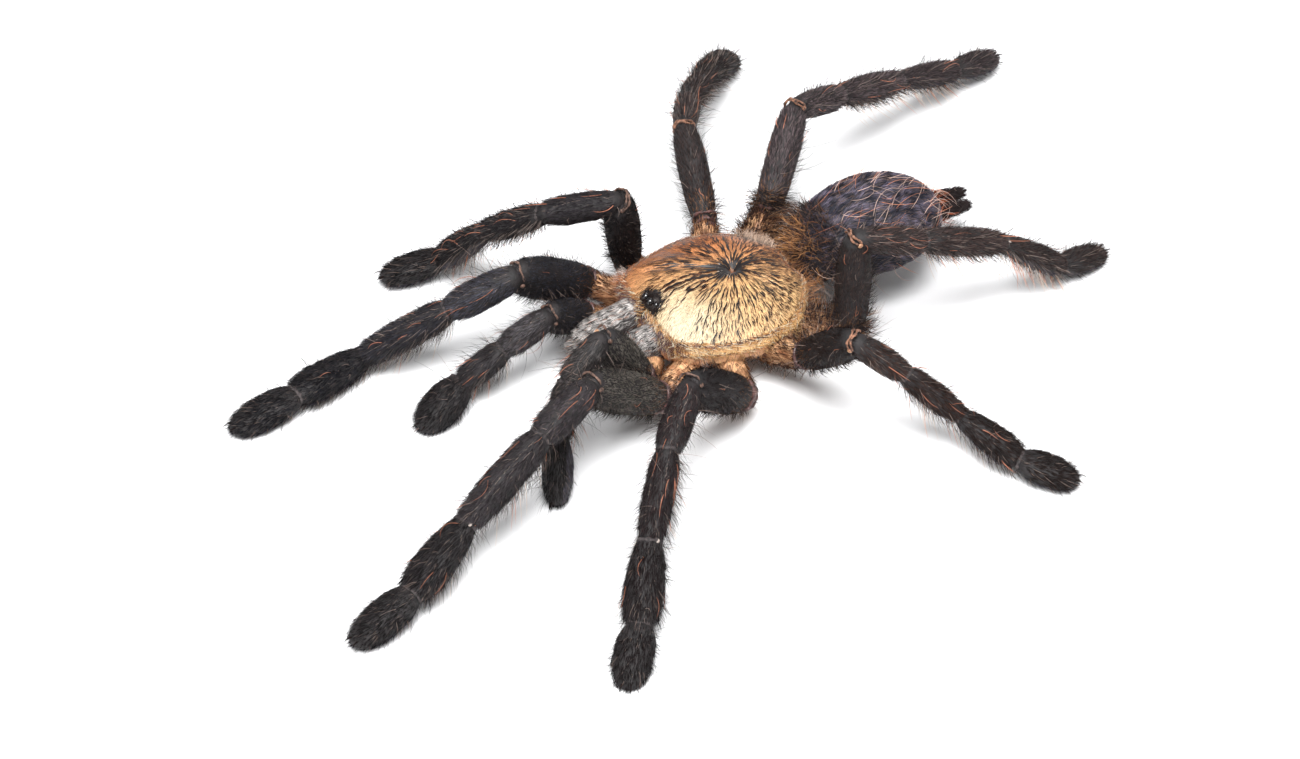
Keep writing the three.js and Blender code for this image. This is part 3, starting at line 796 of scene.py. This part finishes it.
# Hip of the left limb, then length, half height and half width of each segment.
PAIRS = {
    "pedipalp": ((4.4, -0.6, 4.4), (4.8, 10.6, 7.0, 7.2, 8.2),
                 (1.9, 2.55, 2.0, 1.9, 2.0), (1.9, 2.1, 2.0, 2.0, 2.8)),
    "leg_1": ((7.2, 3.2, 4.5), (6.9, 16.0, 9.6, 14.0, 11.0, 9.5),
              (2.2, 3.0, 2.25, 2.15, 2.0, 1.85), (2.1, 2.4, 2.4, 2.35, 2.85, 2.7)),
    "leg_2": ((8.2, 8.2, 4.4), (7.2, 15.3, 9.8, 12.2, 10.6, 8.5),
              (2.2, 3.0, 2.05, 1.9, 2.05, 1.8), (2.1, 2.35, 2.15, 2.05, 2.65, 2.55)),
    "leg_3": ((8.0, 13.4, 4.4), (7.0, 14.4, 8.1, 9.5, 9.1, 7.6),
              (2.2, 2.5, 1.85, 1.8, 1.85, 1.9), (2.1, 2.15, 1.9, 1.85, 2.3, 2.5)),
    "leg_4": ((6.6, 18.6, 4.4), (7.5, 15.6, 10.2, 13.1, 12.6, 8.2),
              (2.8, 2.5, 2.0, 1.95, 1.85, 1.75), (2.5, 2.25, 2.05, 2.05, 2.0, 2.1)),
}
FRONT_LIMBS, HIND_LEGS = ("pedipalp", "leg_1"), ("leg_3", "leg_4")
# Heading, rise and, where it is twisted, roll of each segment, from the hip to the tip.
POSES = {
    "left": {
        "pedipalp": [(-40, 13), (-95, 59), (-76, -33), (-42, -46), (-29, -36, 80)],
        "leg_1": [(-59, -2), (-72, 39), (-66, -8), (-74, -26), (-66, -21), (-73, -11)],
        "leg_2": [(-11, -2), (-65, 41), (-45, -13), (-39, -22), (-35, -25), (-39, -17)],
        "leg_3": [(20, 17), (7, 44), (59, -38), (52, -39), (28, -19), (42, -10)],
        "leg_4": [(57, -5), (87, 89), (86, -20), (89, -22), (92, -40), (102, -14)],
    },
    "right": {
        "pedipalp": [(-145, -9), (-61, 36), (-88, -22), (-100, -36), (-65, -15)],
        "leg_1": [(-145, 2), (-71, 36), (-103, -23), (-120, -36), (-76, 0), (-82, -6)],
        "leg_2": [(-164, -6), (-41, 71), (-105, -1), (-153, -38), (-153, -48), (-98, -8)],
        "leg_3": [(147, 27), (164, 23), (148, -10), (139, -20), (138, -24), (136, -31)],
        "leg_4": [(124, 28), (134, 32), (112, -20), (108, -19), (107, -22), (103, -12)],
    },
}
COAT = 0.25
TAN, RUST = tint(180, 128, 92), tint(88, 60, 48)
# The tone of each limb's coat: bluer in front, where the blue-grey is partly painted sheen, browner
# behind.
TONES = {
    "left": {"pedipalp": (66, 63, 62), "leg_1": (62, 57, 60), "leg_2": (58, 46, 47),
             "leg_3": (74, 54, 48), "leg_4": (92, 76, 73)},
    "right": {"pedipalp": (76, 72, 75), "leg_1": (60, 60, 68), "leg_2": (54, 50, 54),
              "leg_3": (78, 64, 62), "leg_4": (112, 98, 100)},
}
# The smooth coat of the front femora, far paler on the left side, which faces the lamps: partly
# painted sheen.
SLEEK_FEMUR = {"left": tint(132, 126, 117), "right": tint(72, 73, 82)}
# For each segment: hair length, its lift, how far its coat is darkened, orange bristles, and
# the fringe's hairs to a square millimetre, their length and how many of them are dark.
LOOKS = {
    "coxa": (1.2, 0.35, 1.0, 0, 3.0, 2.0, 0.85),
    "femur": (0.75, 0.18, 0.78, 4, 6.0, 2.0, 0.85),
    "patella": (0.85, 0.18, 1.0, 6, 0, 0, 0),
    "tibia": (1.0, 0.24, 0.8, 7, 11.0, 2.4, 0.6),
    "metatarsus": (1.0, 0.26, 0.56, 4, 8.0, 2.4, 0.6),
    "tarsus": (0.85, 0.22, 0.48, 0, 1.5, 1.3, 0.6),
}


def roll(name, joint, axes, reaches, span, thick, finish, wave=0.0, phase=0.0, flat=1.0):
    """A fold of skin round a limb: a bent bead over the outer side of a joint."""
    outward, way, lateral = axes

    def form(ball):
        turn = np.radians(span) * ball[:, 2:]
        n = unit(outward * np.cos(turn) * reaches[1] + lateral * np.sin(turn) * reaches[0])
        centre = (joint + outward * reaches[0] * np.cos(turn) + lateral * reaches[1] * np.sin(turn)
                  + way * wave * np.sin(turn * 4 + phase))
        size = thick * np.sqrt(np.clip(1 - ball[:, 2:] ** 8, 0, 1)) * (
            1 + 0.3 * np.sin(turn * 9 + phase) + 0.15 * np.sin(turn * 23 + phase))
        round_ = unit(ball[:, :2])
        return centre + (n * round_[:, :1] + way * round_[:, 1:] * flat) * size

    return shaped_ball(name, 8, 30, form, finish)


def knob(name, centre, axes, sizes, finish):
    """A small bare bump of hard skin beside a joint."""
    outward, way, lateral = axes
    return shaped_ball(name, 12, 8, lambda ball: centre + outward * ball[:, :1] * sizes[0]
                       + way * ball[:, 1:2] * sizes[1] + lateral * ball[:, 2:] * sizes[2], finish)


def joint_folds(limb_name, side_name, pair, chain):
    """The bare folds, rims and knobs of hard skin at the joints of one limb."""
    # The knee between femur and patella: one or two tan folds over its outer corner, with a
    # knob at each end.
    thigh, cap = chain[1:3]
    axes = (unit(thigh.along - cap.along), unit(thigh.along + cap.along),
            unit(np.cross(thigh.along, cap.along)))
    tall = 0.4 * (thigh.high + cap.high) - 0.02
    broad = 0.4 * (thigh.wide + cap.wide) - 0.02
    finish = knee_skin if pair in HIND_LEGS else dull_knee
    folded = pair in HIND_LEGS or limb_name == "leg_2_right"
    folds = [roll("fold", cap.start + axes[1] * shift, axes, (tall, broad), 86 if folded else 64,
                  0.15, finish, 0.14, phase)
             for shift, phase in (((0.2, 0.0), (-0.22, 1.3)) if folded else ((0.05, 0.7),))]
    turn = math.radians(84)
    for end in (-1, 1):
        centre = (cap.start + axes[0] * tall * math.cos(turn)
                  + axes[2] * end * broad * math.sin(turn) * 1.02)
        # The knob at one end of each left knee is painted brighter than the rest: a painted
        # highlight.
        folds.append(knob("knob", centre, axes, (0.32, 0.36, 0.22),
                          lit_knob_skin if side_name == "left" and end < 0 else finish))
    # The joints beyond it: one thin dark rim each, and on the left legs a pale spot at the root
    # of the metatarsus.
    for segment in chain[3:]:
        axes = (segment.top, segment.along, -segment.side)
        girth = segment.girth(0.03)
        sizes = (girth * segment.high - 0.02, girth * segment.wide - 0.02)
        folds.append(roll("rim", segment.start + segment.along * 0.1, axes, sizes, 105, 0.1,
                          joint_skin, 0.05, 2.0, 2.4))
        if side_name == "left" and segment is chain[4]:
            a = math.radians(-40 if pair == "leg_4" else 40)
            spot = (segment.start + segment.top * sizes[0] * math.cos(a)
                    - segment.side * sizes[1] * math.sin(a) + segment.along * 0.15)
            folds.append(knob("spot", spot, axes, (0.1, 0.34, 0.28), pale_skin))
    # The ring at the femur's root: glossy plum-brown folds that let it turn on the hip.
    axes = (thigh.top, thigh.along, -thigh.side)
    for shift, thick in ((-0.75, 0.24), (0.1, 0.3), (0.95, 0.2)):
        girth = thigh.girth(max(shift, 0) / thigh.length + 0.01) + 0.03
        folds.append(roll("ring", thigh.start + thigh.along * shift, axes,
                          (girth * thigh.high, girth * thigh.wide), 175, thick, fold_skin, 0.12,
                          shift * 5))
    return folds


def segment_hair(k, name, chain, skin, side_name, pair):
    """Every kind of hair on one segment of a limb."""
    segment, along = chain[k], chain[k].along
    length, lift, shade, bristles, fringe, fringe_length, fringe_dark = LOOKS[name]
    sleek = name == "femur" and pair in FRONT_LIMBS
    tone = tint(*TONES[side_name][pair]) * (shade if pair == "leg_4" else shade**2)
    # The front femora's smooth coat, the left one lightened by painted sheen.
    if sleek:
        tone = SLEEK_FEMUR[side_name]
    # Painted sheen: the front limbs' patellae and tibiae are lightened, every patella and the left
    # first leg most.
    if name in ("patella", "tibia") and pair in FRONT_LIMBS:
        strong_sheen = (pair, side_name) == ("leg_1", "left") or name == "patella"
        tone = tone * (1.7 if strong_sheen else 1.25)
    area = 2 * math.pi * (segment.wide + segment.high) / 2 * segment.length

    # Hair grows neither inside the next segment nor on a joint's bare skin.
    roots, facing = scatter(skin, int(area * 22))
    at, level, upright = segment.read(roots)
    buried = np.zeros(len(roots), bool)
    for other in chain:
        if other is not segment:
            buried |= other.holds(roots)
    near_start, near_end = (np.abs(at - stop) * segment.length for stop in (0, 1))
    outer = (roots - chain[2].start) @ unit(chain[1].along - chain[2].along) > 0.2
    if name == "femur":
        buried |= (near_end < 0.5) & outer
    elif name == "patella":
        buried |= (near_start < 0.45) & outer
    elif name == "coxa":
        bald = (at < 0.5) & (upright > 0.3 * segment.high) & (rng.random(len(at)) < 0.6)
        buried |= bald & (side_name == "left") & (pair not in HIND_LEGS)
    if name not in ("coxa", "femur", "tarsus"):
        buried |= near_end < 0.1
    kept = ~buried & (roots[:, 2] > 0.12)
    roots, facing, at, level, upright, near_end = (
        v[kept] for v in (roots, facing, at, level, upright, near_end))
    count = len(roots)
    angle = np.degrees(np.arctan2(level, upright))
    around = unit(np.cross(facing, along))

    # The velvet.
    sway = rng.normal(0, 0.1, (count, 1)) + 0.1 * np.sin(at * 9 + angle * 0.05 + k)[:, None]
    lifts = lift * column(0.4, 1.6, count)
    ways = unit(along + facing * lifts * 1.3 + around * sway)
    bends = unit(along + facing * lifts * 0.3 + around * sway * 1.5)
    spread = 0.2 if sleek else 0.5
    tones = tone * column(1 - spread, 1 + spread, count)
    tones *= (1 + 0.25 * np.sin(at * 11 + angle * 0.06) * np.sin(angle * 0.11))[:, None]
    light = rng.random(count)
    if name == "coxa":
        tan = rng.random((count, 1)) < np.clip(1.05 - at * 0.75, 0.1, 1)[:, None]
        tones = np.where(tan, TAN, RUST) * column(0.5, 1.15, count)
        tones[light < 0.1 + 0.35 * at] = tint(50, 35, 32)
    else:
        tones[light < 0.025] = tint(100, 88, 83)
    if name == "femur":
        speckled = light > 1 - 0.85 * bell(at, 0.2)
        tones[speckled] = TAN * 0.8 * column(0.4, 1.1, speckled.sum())
    sizes = length * rng.uniform(0.7, 1.25, count)
    sizes *= 1 - 0.55 * bell(near_end, 0.9) * (name != "coxa")
    if name in ("patella", "tibia"):
        for line in (-26, 30):
            bare = np.abs(angle - line - 6 * np.sin(at * 4)) * segment.wide < 4.2
            bare &= at < 0.85
            tones[bare] = tint(150, 134, 126) * column(0.5, 1.0, bare.sum())
            sizes[bare] = 0.4
    if name == "tarsus" and pair == "leg_4":
        flare = smooth(at, 0.6, 0.95)[:, None]
        aside = np.sign(level)[:, None] * -segment.side
        ways = unit(ways + (aside * 0.6 + facing * 0.5) * flare)
        bends = unit(bends + aside * 0.5 * flare)
        sizes *= 1 + 0.6 * flare[:, 0]
    if name in ("metatarsus", "tarsus"):
        sole = np.abs(angle) > 104
        tones[sole] = tint(92, 88, 98) * column(0.5, 1.2, sole.sum())
    sets = [blades(roots, ways, bends, facing, sizes, rng.uniform(0.05, 0.08, count), tones, 0.3,
                   twist=0.7)]

    # Fine erect hairs on top and at the sides, short and long.
    if name != "coxa":
        chosen = rng.permutation(count)[: int(area * (2.4 if name == "femur" else 4.5))]
        chosen = chosen[np.abs(angle[chosen]) < 115]
        many, out = len(chosen), facing[chosen]
        ways = unit(out + along * column(0.3, 1.3, many) + rng.normal(0, 0.15, (many, 3)))
        grey = by_lot(many, (0.14, (136, 120, 112)), (1, (34, 29, 29)))
        sets.append(blades(roots[chosen], ways, unit(ways + along * 0.7), out,
                           0.8 + 3.2 * rng.random(many) ** 3, 0.045, grey, 0.6))
        chosen = rng.choice(np.flatnonzero(np.abs(angle) < 105), int(segment.length * 3.2))
        many, out = len(chosen), facing[chosen]
        ways = unit(out + along * column(-0.1, 0.9, many)
                    + around[chosen] * rng.normal(0, 0.2, (many, 1)))
        bends = unit(ways + along * 0.5 + rng.normal(0, 0.2, (many, 3)))
        fine = by_lot(many, (0.18, (150, 132, 124)), (1, (40, 35, 35)))
        sets.append(strands(roots[chosen], ways, bends, 1.4 + 5.2 * rng.random(many) ** 1.5,
                            0.052, fine, 1, steps=4))
    # The fringe below: dark and short under the femur, long and pale under the shin.
    if fringe:
        chosen = rng.permutation(count)[: int(area * fringe)]
        chosen = chosen[np.abs(angle[chosen]) > 98]
        many, out = len(chosen), facing[chosen]
        ways = unit(out * column(0.5, 1.0, many) + along * column(0.4, 1.0, many))
        bends = unit(ways + along * 0.6 + rng.normal(0, 0.1, (many, 3)))
        grey = by_lot(many, (fringe_dark, (50, 44, 43)), (1, (126, 114, 108)))
        sets.append(blades(roots[chosen], ways, bends, out,
                           fringe_length * rng.uniform(0.5, 1.2, many), 0.05, grey, 0.6))
    # Long tousled hair on the hind hips.
    if name in ("coxa", "femur") and pair in HIND_LEGS:
        many = 2400 if pair == "leg_4" else 260
        hairy = np.flatnonzero(at < 0.2) if name == "femur" else np.arange(count)
        chosen = rng.choice(hairy, many // (3 if name == "femur" else 1))
        many = len(chosen)
        away = np.array([-0.9 * SIDES[side_name], 0.45, 0.35])
        ways = unit(facing[chosen] + away * 0.6 + rng.normal(0, 0.35, (many, 3)))
        bends = unit(ways + away + rng.normal(0, 0.3, (many, 3)))
        brown = by_lot(many, (0.16, (136, 92, 64)), (0.88, (54, 45, 43)), (1, (176, 140, 112)))
        brown = brown * column(0.5, 1.15, many)
        sets.append(blades(roots[chosen], ways, bends, facing[chosen],
                           rng.uniform(1.4, 4.0, many), 0.065, brown, 0.5))
    # Long pale hairs under tibia and metatarsus, slanting to the tip.
    if name in ("tibia", "metatarsus"):
        many = int(segment.length * {"leg_4": 4.5, "leg_3": 2.5}.get(pair, 1.2))
        chosen = rng.choice(np.flatnonzero(np.abs(angle) > 120), many)
        ways = unit(facing[chosen] + along * column(0.6, 1.1, many))
        cream = by_lot(many, (0.3, (214, 138, 104)), (1, (228, 206, 188)))
        sets.append(strands(roots[chosen], ways, unit(ways + along * 0.4),
                            rng.uniform(2.2, 5.2, many), 0.075, cream, 0.8, steps=4))
    # Curved orange bristles, few and of all sizes.
    if bristles:
        many = bristles + int(rng.integers(-2, 3))
        chosen = rng.choice(np.flatnonzero(np.abs(angle) < 100), many)
        lean, twist = column(0.2, 0.9, many), rng.normal(0, 0.6, (many, 1))
        ways = unit(along + facing[chosen] * lean + around[chosen] * twist)
        bends = unit(along + facing[chosen] * (0.2 - lean) - around[chosen] * twist)
        orange = tint(208, 136, 108) * column(0.55, 1.15, many)
        longest = 2.6 if name == "femur" else 4.6
        sets.append(strands(roots[chosen], ways, bends, longest * rng.uniform(0.35, 1.0, many),
                            rng.uniform(0.06, 0.1, many), orange, 0.8, steps=7))
    return sets


dark_hair = hair_finish("dark_hair", 0.62, 0.09, 0.0)
limb_skin = cuticle("limb_skin", tint(12, 9, 10), tint(30, 24, 25), 1200, 0.7, 0.5)
hip_skin = cuticle("hip_skin", tint(150, 98, 66), tint(232, 182, 136), 700, 0.45, 0.5)
knee_skin = cuticle("knee_skin", tint(40, 26, 23), tint(160, 112, 86), 2600, 0.55, 0.6)
dull_knee = cuticle("dull_knee", tint(30, 22, 21), tint(120, 90, 76), 2600, 0.6, 0.6)
# A brighter copy of the knee's skin for the lit knobs: a painted highlight.
lit_knob_skin = cuticle("lit_knob_skin", tint(124, 80, 56), tint(214, 168, 128), 1900, 0.45, 0.4)
joint_skin = cuticle("joint_skin", tint(20, 17, 18), tint(70, 62, 62), 2000, 0.7, 0.5)
pale_skin = cuticle("pale_skin", tint(100, 86, 80), tint(206, 194, 184), 1900, 0.6, 0.5)
fold_skin = cuticle("fold_skin", tint(40, 27, 28), tint(112, 80, 76), 1300, 0.28, 0.5)
for side_name, pair in [(side_name, pair) for side_name in SIDES for pair in PAIRS]:
    limb_name = f"{pair}_{side_name}"
    names = [name for name in SEGMENT_ROWS if (pair, name) != ("pedipalp", "metatarsus")]
    (x, y, z), *sizes = PAIRS[pair]
    start = np.array([x * SIDES[side_name], y, z])
    chain = []
    for name, length, high, wide, pose in zip(names, *sizes, POSES[side_name][pair]):
        chain.append(
            Spindle(SEGMENT_ROWS[name], start, pose, length, wide - COAT, high - COAT))
        start = start + chain[-1].along * length
    joints = joined(joint_folds(limb_name, side_name, pair, chain), f"{limb_name}_joints")
    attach(joints, "root")
    skins, sets = [], []
    for k, name in enumerate(names):
        skins.append(chain[k].skin(name, hip_skin if name == "coxa" else limb_skin))
        sets += segment_hair(k, name, chain, skins[-1], side_name, pair)
    # Two small dark claws at the tip.
    foot = chain[-1]
    tip = foot.start + foot.along * foot.length * 0.97 + foot.top * foot.high * 0.35
    apart = foot.side * np.array([[0.45], [-0.45]])
    sets.append(strands(tip + apart, unit(foot.along + foot.top * 0.7 + apart * 0.7),
                        np.tile(unit(foot.along - foot.top * 1.1), (2, 1)), 1.4, 0.28,
                        np.tile(tint(26, 18, 16), (2, 1)), 1, steps=6))
    limb = joined(skins, f"{limb_name}_skin")
    # The soles are flat on the card.
    spots = np.empty(len(limb.data.vertices) * 3)
    limb.data.vertices.foreach_get("co", spots)
    spots[2::3] = np.maximum(spots[2::3], 0.02 * MM)
    limb.data.vertices.foreach_set("co", spots)
    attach(limb, "root")
    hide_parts(limb_name)
    fur(f"{limb_name}_coat", sets, dark_hair)

# The hair between the hips: tan down on the side skin in front, and long tousled brown tufts
# behind, which close the space between the shield, the hind legs and the abdomen.
roots, facing = scatter(side_skin, 16000)
kept = (roots[:, 2] > 4.4) & (np.hypot(facing[:, 0], facing[:, 1]) > 0.3)
roots, facing = roots[kept], facing[kept]
count = len(roots)
x, y, z = roots.T
behind = smooth(y, 15.5, 20)
flow = unit(facing * np.array([1, 1, 0]) + np.array([0, 0.35, 0.1])
            + behind[:, None] * np.array([0, 0.5, 0.35]))
ways = unit(flow + rng.normal(0, 0.3, (count, 3)))
bends = unit(flow + rng.normal(0, 0.5, (count, 3)) - up * 0.2)
tones = by_lot(count, (0.24, (144, 98, 70)), (0.76, (62, 50, 48)), (1, (200, 152, 112)))
tones = tones * column(0.5, 1.15, count)
gap = (np.abs(y - 2.4) < 2.2) & (x > 0) & (z < 6.8)
warm = (rng.random(count) < 0.55) & (x > 1) & (behind > 0.3)
tones = np.where(warm[:, None], tint(202, 138, 88) * column(0.5, 1.1, count), tones)
thin = rng.random(count) < np.where(gap, 0.2, 1.0)
sizes = rng.uniform(0.5, 1.0, count) + behind * rng.uniform(0.6, 3.0, count)
# Paler gold on the left side, which faces the lamps, and orange on the right: partly painted light.
golden = np.where(x[:, None] > 0, tint(226, 176, 118), tint(196, 130, 88))
golden = golden * column(0.5, 1.1, count)
tones = np.where(((z > 6.2) & (behind < 0.5))[:, None], golden, tones)
tufts = blades(*(v[thin] for v in (roots, ways, bends, facing, sizes)), 0.065, tones[thin], 0.5)
brown_hair = hair_finish("brown_hair", 0.4, 0.45, 0.1)
fur("side_tufts", [tufts], brown_hair)

# The abdomen: a soft egg of thin skin, dried firm, in short blue-black velvet with long curved
# orange and pink hairs standing over it, joined to the front part by a narrow waist.
ABDOMEN_AT, ABDOMEN_HALF, ABDOMEN_TURN = np.array([-2.1, 34.0, 8.0]), (7.8, 11.3, 6.2), 5
ABDOMEN_COAT, BELLY_SHARE = 0.15, 0.62


def abdomen_form(ball):
    fullness = (1 + 0.1 * ball[:, 1] - 0.05 * ball[:, 1] ** 2)[:, None]
    half = np.array(ABDOMEN_HALF) - ABDOMEN_COAT
    egg = ball * half * np.concatenate([fullness, fullness**0, fullness], axis=1)
    egg[:, 2] *= np.where(egg[:, 2] < 0, BELLY_SHARE, 1)
    t = math.radians(ABDOMEN_TURN)
    turned = egg @ np.array([[math.cos(t), math.sin(t), 0], [-math.sin(t), math.cos(t), 0],
                             [0, 0, 1]])
    return turned + ABDOMEN_AT


abdomen_skin = cuticle("abdomen_skin", tint(18, 16, 20), tint(40, 38, 46), 700, 0.6, 0.4)
egg = shaped_ball("egg", 64, 40, abdomen_form, abdomen_skin)
waist = Spindle([(0, 1), (1, 1)], (0, 20, 6.0), (90, 0), 7, 1.6, 1.6)
abdomen = joined([egg, waist.skin("waist", abdomen_skin, 20, 10)], "abdomen_skin")
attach(abdomen, "root")
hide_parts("abdomen")
roots, facing = scatter(abdomen, 30000)
count = len(roots)
rear = np.array([0.08, 1, -0.1])
flow = unit(rear - facing * (facing @ rear)[:, None])
around = np.cross(facing, flow)
x, y, z = roots.T
swirl = 0.35 * np.sin(x * 0.9 + y * 0.7) + 0.25 * np.sin(y * 1.9 - z * 1.3 + 1)
sway = rng.normal(0, 0.2, (count, 1)) + swirl[:, None]
ways = unit(flow + facing * column(0.15, 0.5, count) + around * sway)
bends = unit(flow + facing * column(0.0, 0.2, count) + around * sway * 1.5)
patches = np.sin(x * 1.9 + 1.1 * np.sin(y * 1.5)) * np.sin(y * 1.7 + 1.2 * np.sin(z * 1.6 + x))
patches = patches + 0.5 * np.sin(x * 4.3 + 2 * np.sin(y * 2.9)) * np.sin(y * 3.7 + z * 2.1)
tones = blend(tint(24, 28, 44), tint(116, 108, 126), smooth(patches, -0.5, 0.7)[:, None])
tones = tones * column(0.35, 1.5, count)
tones[rng.random(count) < 0.14] = tint(118, 98, 92)
front = (smooth(27 - y, -2, 3.5) * (rng.random(count) < 0.55))[:, None]
tones = blend(tones, by_lot(count, (0.14, (124, 86, 64)), (1, (46, 39, 42))), front)
sizes = rng.uniform(0.7, 1.3, count) * (1 + 1.6 * front[:, 0] * rng.random(count))
coat = blades(roots, ways, bends, facing, sizes, rng.uniform(0.05, 0.085, count), tones, 0.3)
LONG_HAIRS = 120
upper = np.flatnonzero((facing[:, 2] > -0.3) & (rng.random(count) < smooth(y, 22, 42) + 0.25))
chosen = rng.choice(upper, LONG_HAIRS)
lean, twist = column(0.2, 1.1, LONG_HAIRS), rng.normal(0, 1.7, (LONG_HAIRS, 1))
ways = unit(flow[chosen] + facing[chosen] * lean + around[chosen] * twist)
bends = unit(flow[chosen] * 0.8 - facing[chosen] * lean * 0.5
             + around[chosen] * rng.normal(0, 1, (LONG_HAIRS, 1)))
orange = by_lot(LONG_HAIRS, (0.6, (240, 204, 188)), (1, (222, 146, 112)))
orange = orange * column(0.6, 1.1, LONG_HAIRS)
long_hairs = strands(roots[chosen], ways, bends, rng.uniform(2.6, 7.2, LONG_HAIRS),
                     rng.uniform(0.06, 0.085, LONG_HAIRS), orange, 0.8, steps=7)
# Tousled brown and grey hair over the abdomen's front, where it nears the shield.
TOUSLED = 2600
fore = rng.choice(np.flatnonzero((y < 28.5) & (facing[:, 2] > -0.5)), TOUSLED)
ways = unit(facing[fore] + np.array([0, -0.5, 0.3]) + rng.normal(0, 0.4, (TOUSLED, 3)))
bends = unit(ways + rng.normal(0, 0.5, (TOUSLED, 3)) + np.array([0, 0.2, -0.1]))
tones = by_lot(TOUSLED, (0.1, (140, 92, 64)), (0.86, (48, 42, 44)), (1, (150, 122, 104)))
tones[rng.random(TOUSLED) < 0.8 * bell(x[fore] + 2, 3) * (y[fore] < 26)] = tint(210, 150, 98)
tones = tones * column(0.5, 1.2, TOUSLED)
tousle = blades(roots[fore], ways, bends, facing[fore], rng.uniform(1.2, 3.4, TOUSLED), 0.06,
                tones, 0.5)
slate_hair = hair_finish("slate_hair", 0.5, 0.25, 0.0)
fur("abdomen_coat", [coat, long_hairs, tousle], slate_hair)

# The spinnerets: two long jointed fingers at the abdomen's end, black and fuzzy, each of three
# short joints that step down in size towards a blunt tip.
SPINNERETS = {"left": ((-1.6, 43.4, 7.0), (92, -6)), "right": ((-4.2, 43.8, 7.2), (88, -4))}
SPINNERET_ROWS = [(0, 0.95), (0.3, 1.0), (0.36, 0.88), (0.66, 0.92), (0.72, 0.78), (0.94, 0.62)]
for side_name, (start, pose) in SPINNERETS.items():
    finger = Spindle(SPINNERET_ROWS, start, pose, 6.9, 0.85, 0.85)
    skin = finger.skin(f"spinneret_{side_name}_skin", limb_skin, 24, 22)
    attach(skin, "root")
    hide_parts(f"spinneret_{side_name}")
    roots, facing = scatter(skin, 2600)
    count = len(roots)
    ways = unit(finger.along + facing * column(0.3, 0.9, count)
                + rng.normal(0, 0.15, (count, 3)))
    tones = tint(46, 38, 38) * column(0.4, 1.5, count)
    sets = [blades(roots, ways, unit(finger.along + facing * 0.2), facing,
                   rng.uniform(0.6, 1.2, count), 0.07, tones, 0.4)]
    chosen = np.flatnonzero(finger.read(roots)[0] < 0.4)[:60]
    orange = tint(190, 104, 72) * column(0.6, 1.2, len(chosen))
    sets.append(strands(roots[chosen], unit(facing[chosen] + finger.along), ways[chosen],
                        rng.uniform(1.2, 2.6, len(chosen)), 0.08, orange, 0.7, steps=4))
    fur(f"spinneret_{side_name}_coat", sets, dark_hair)
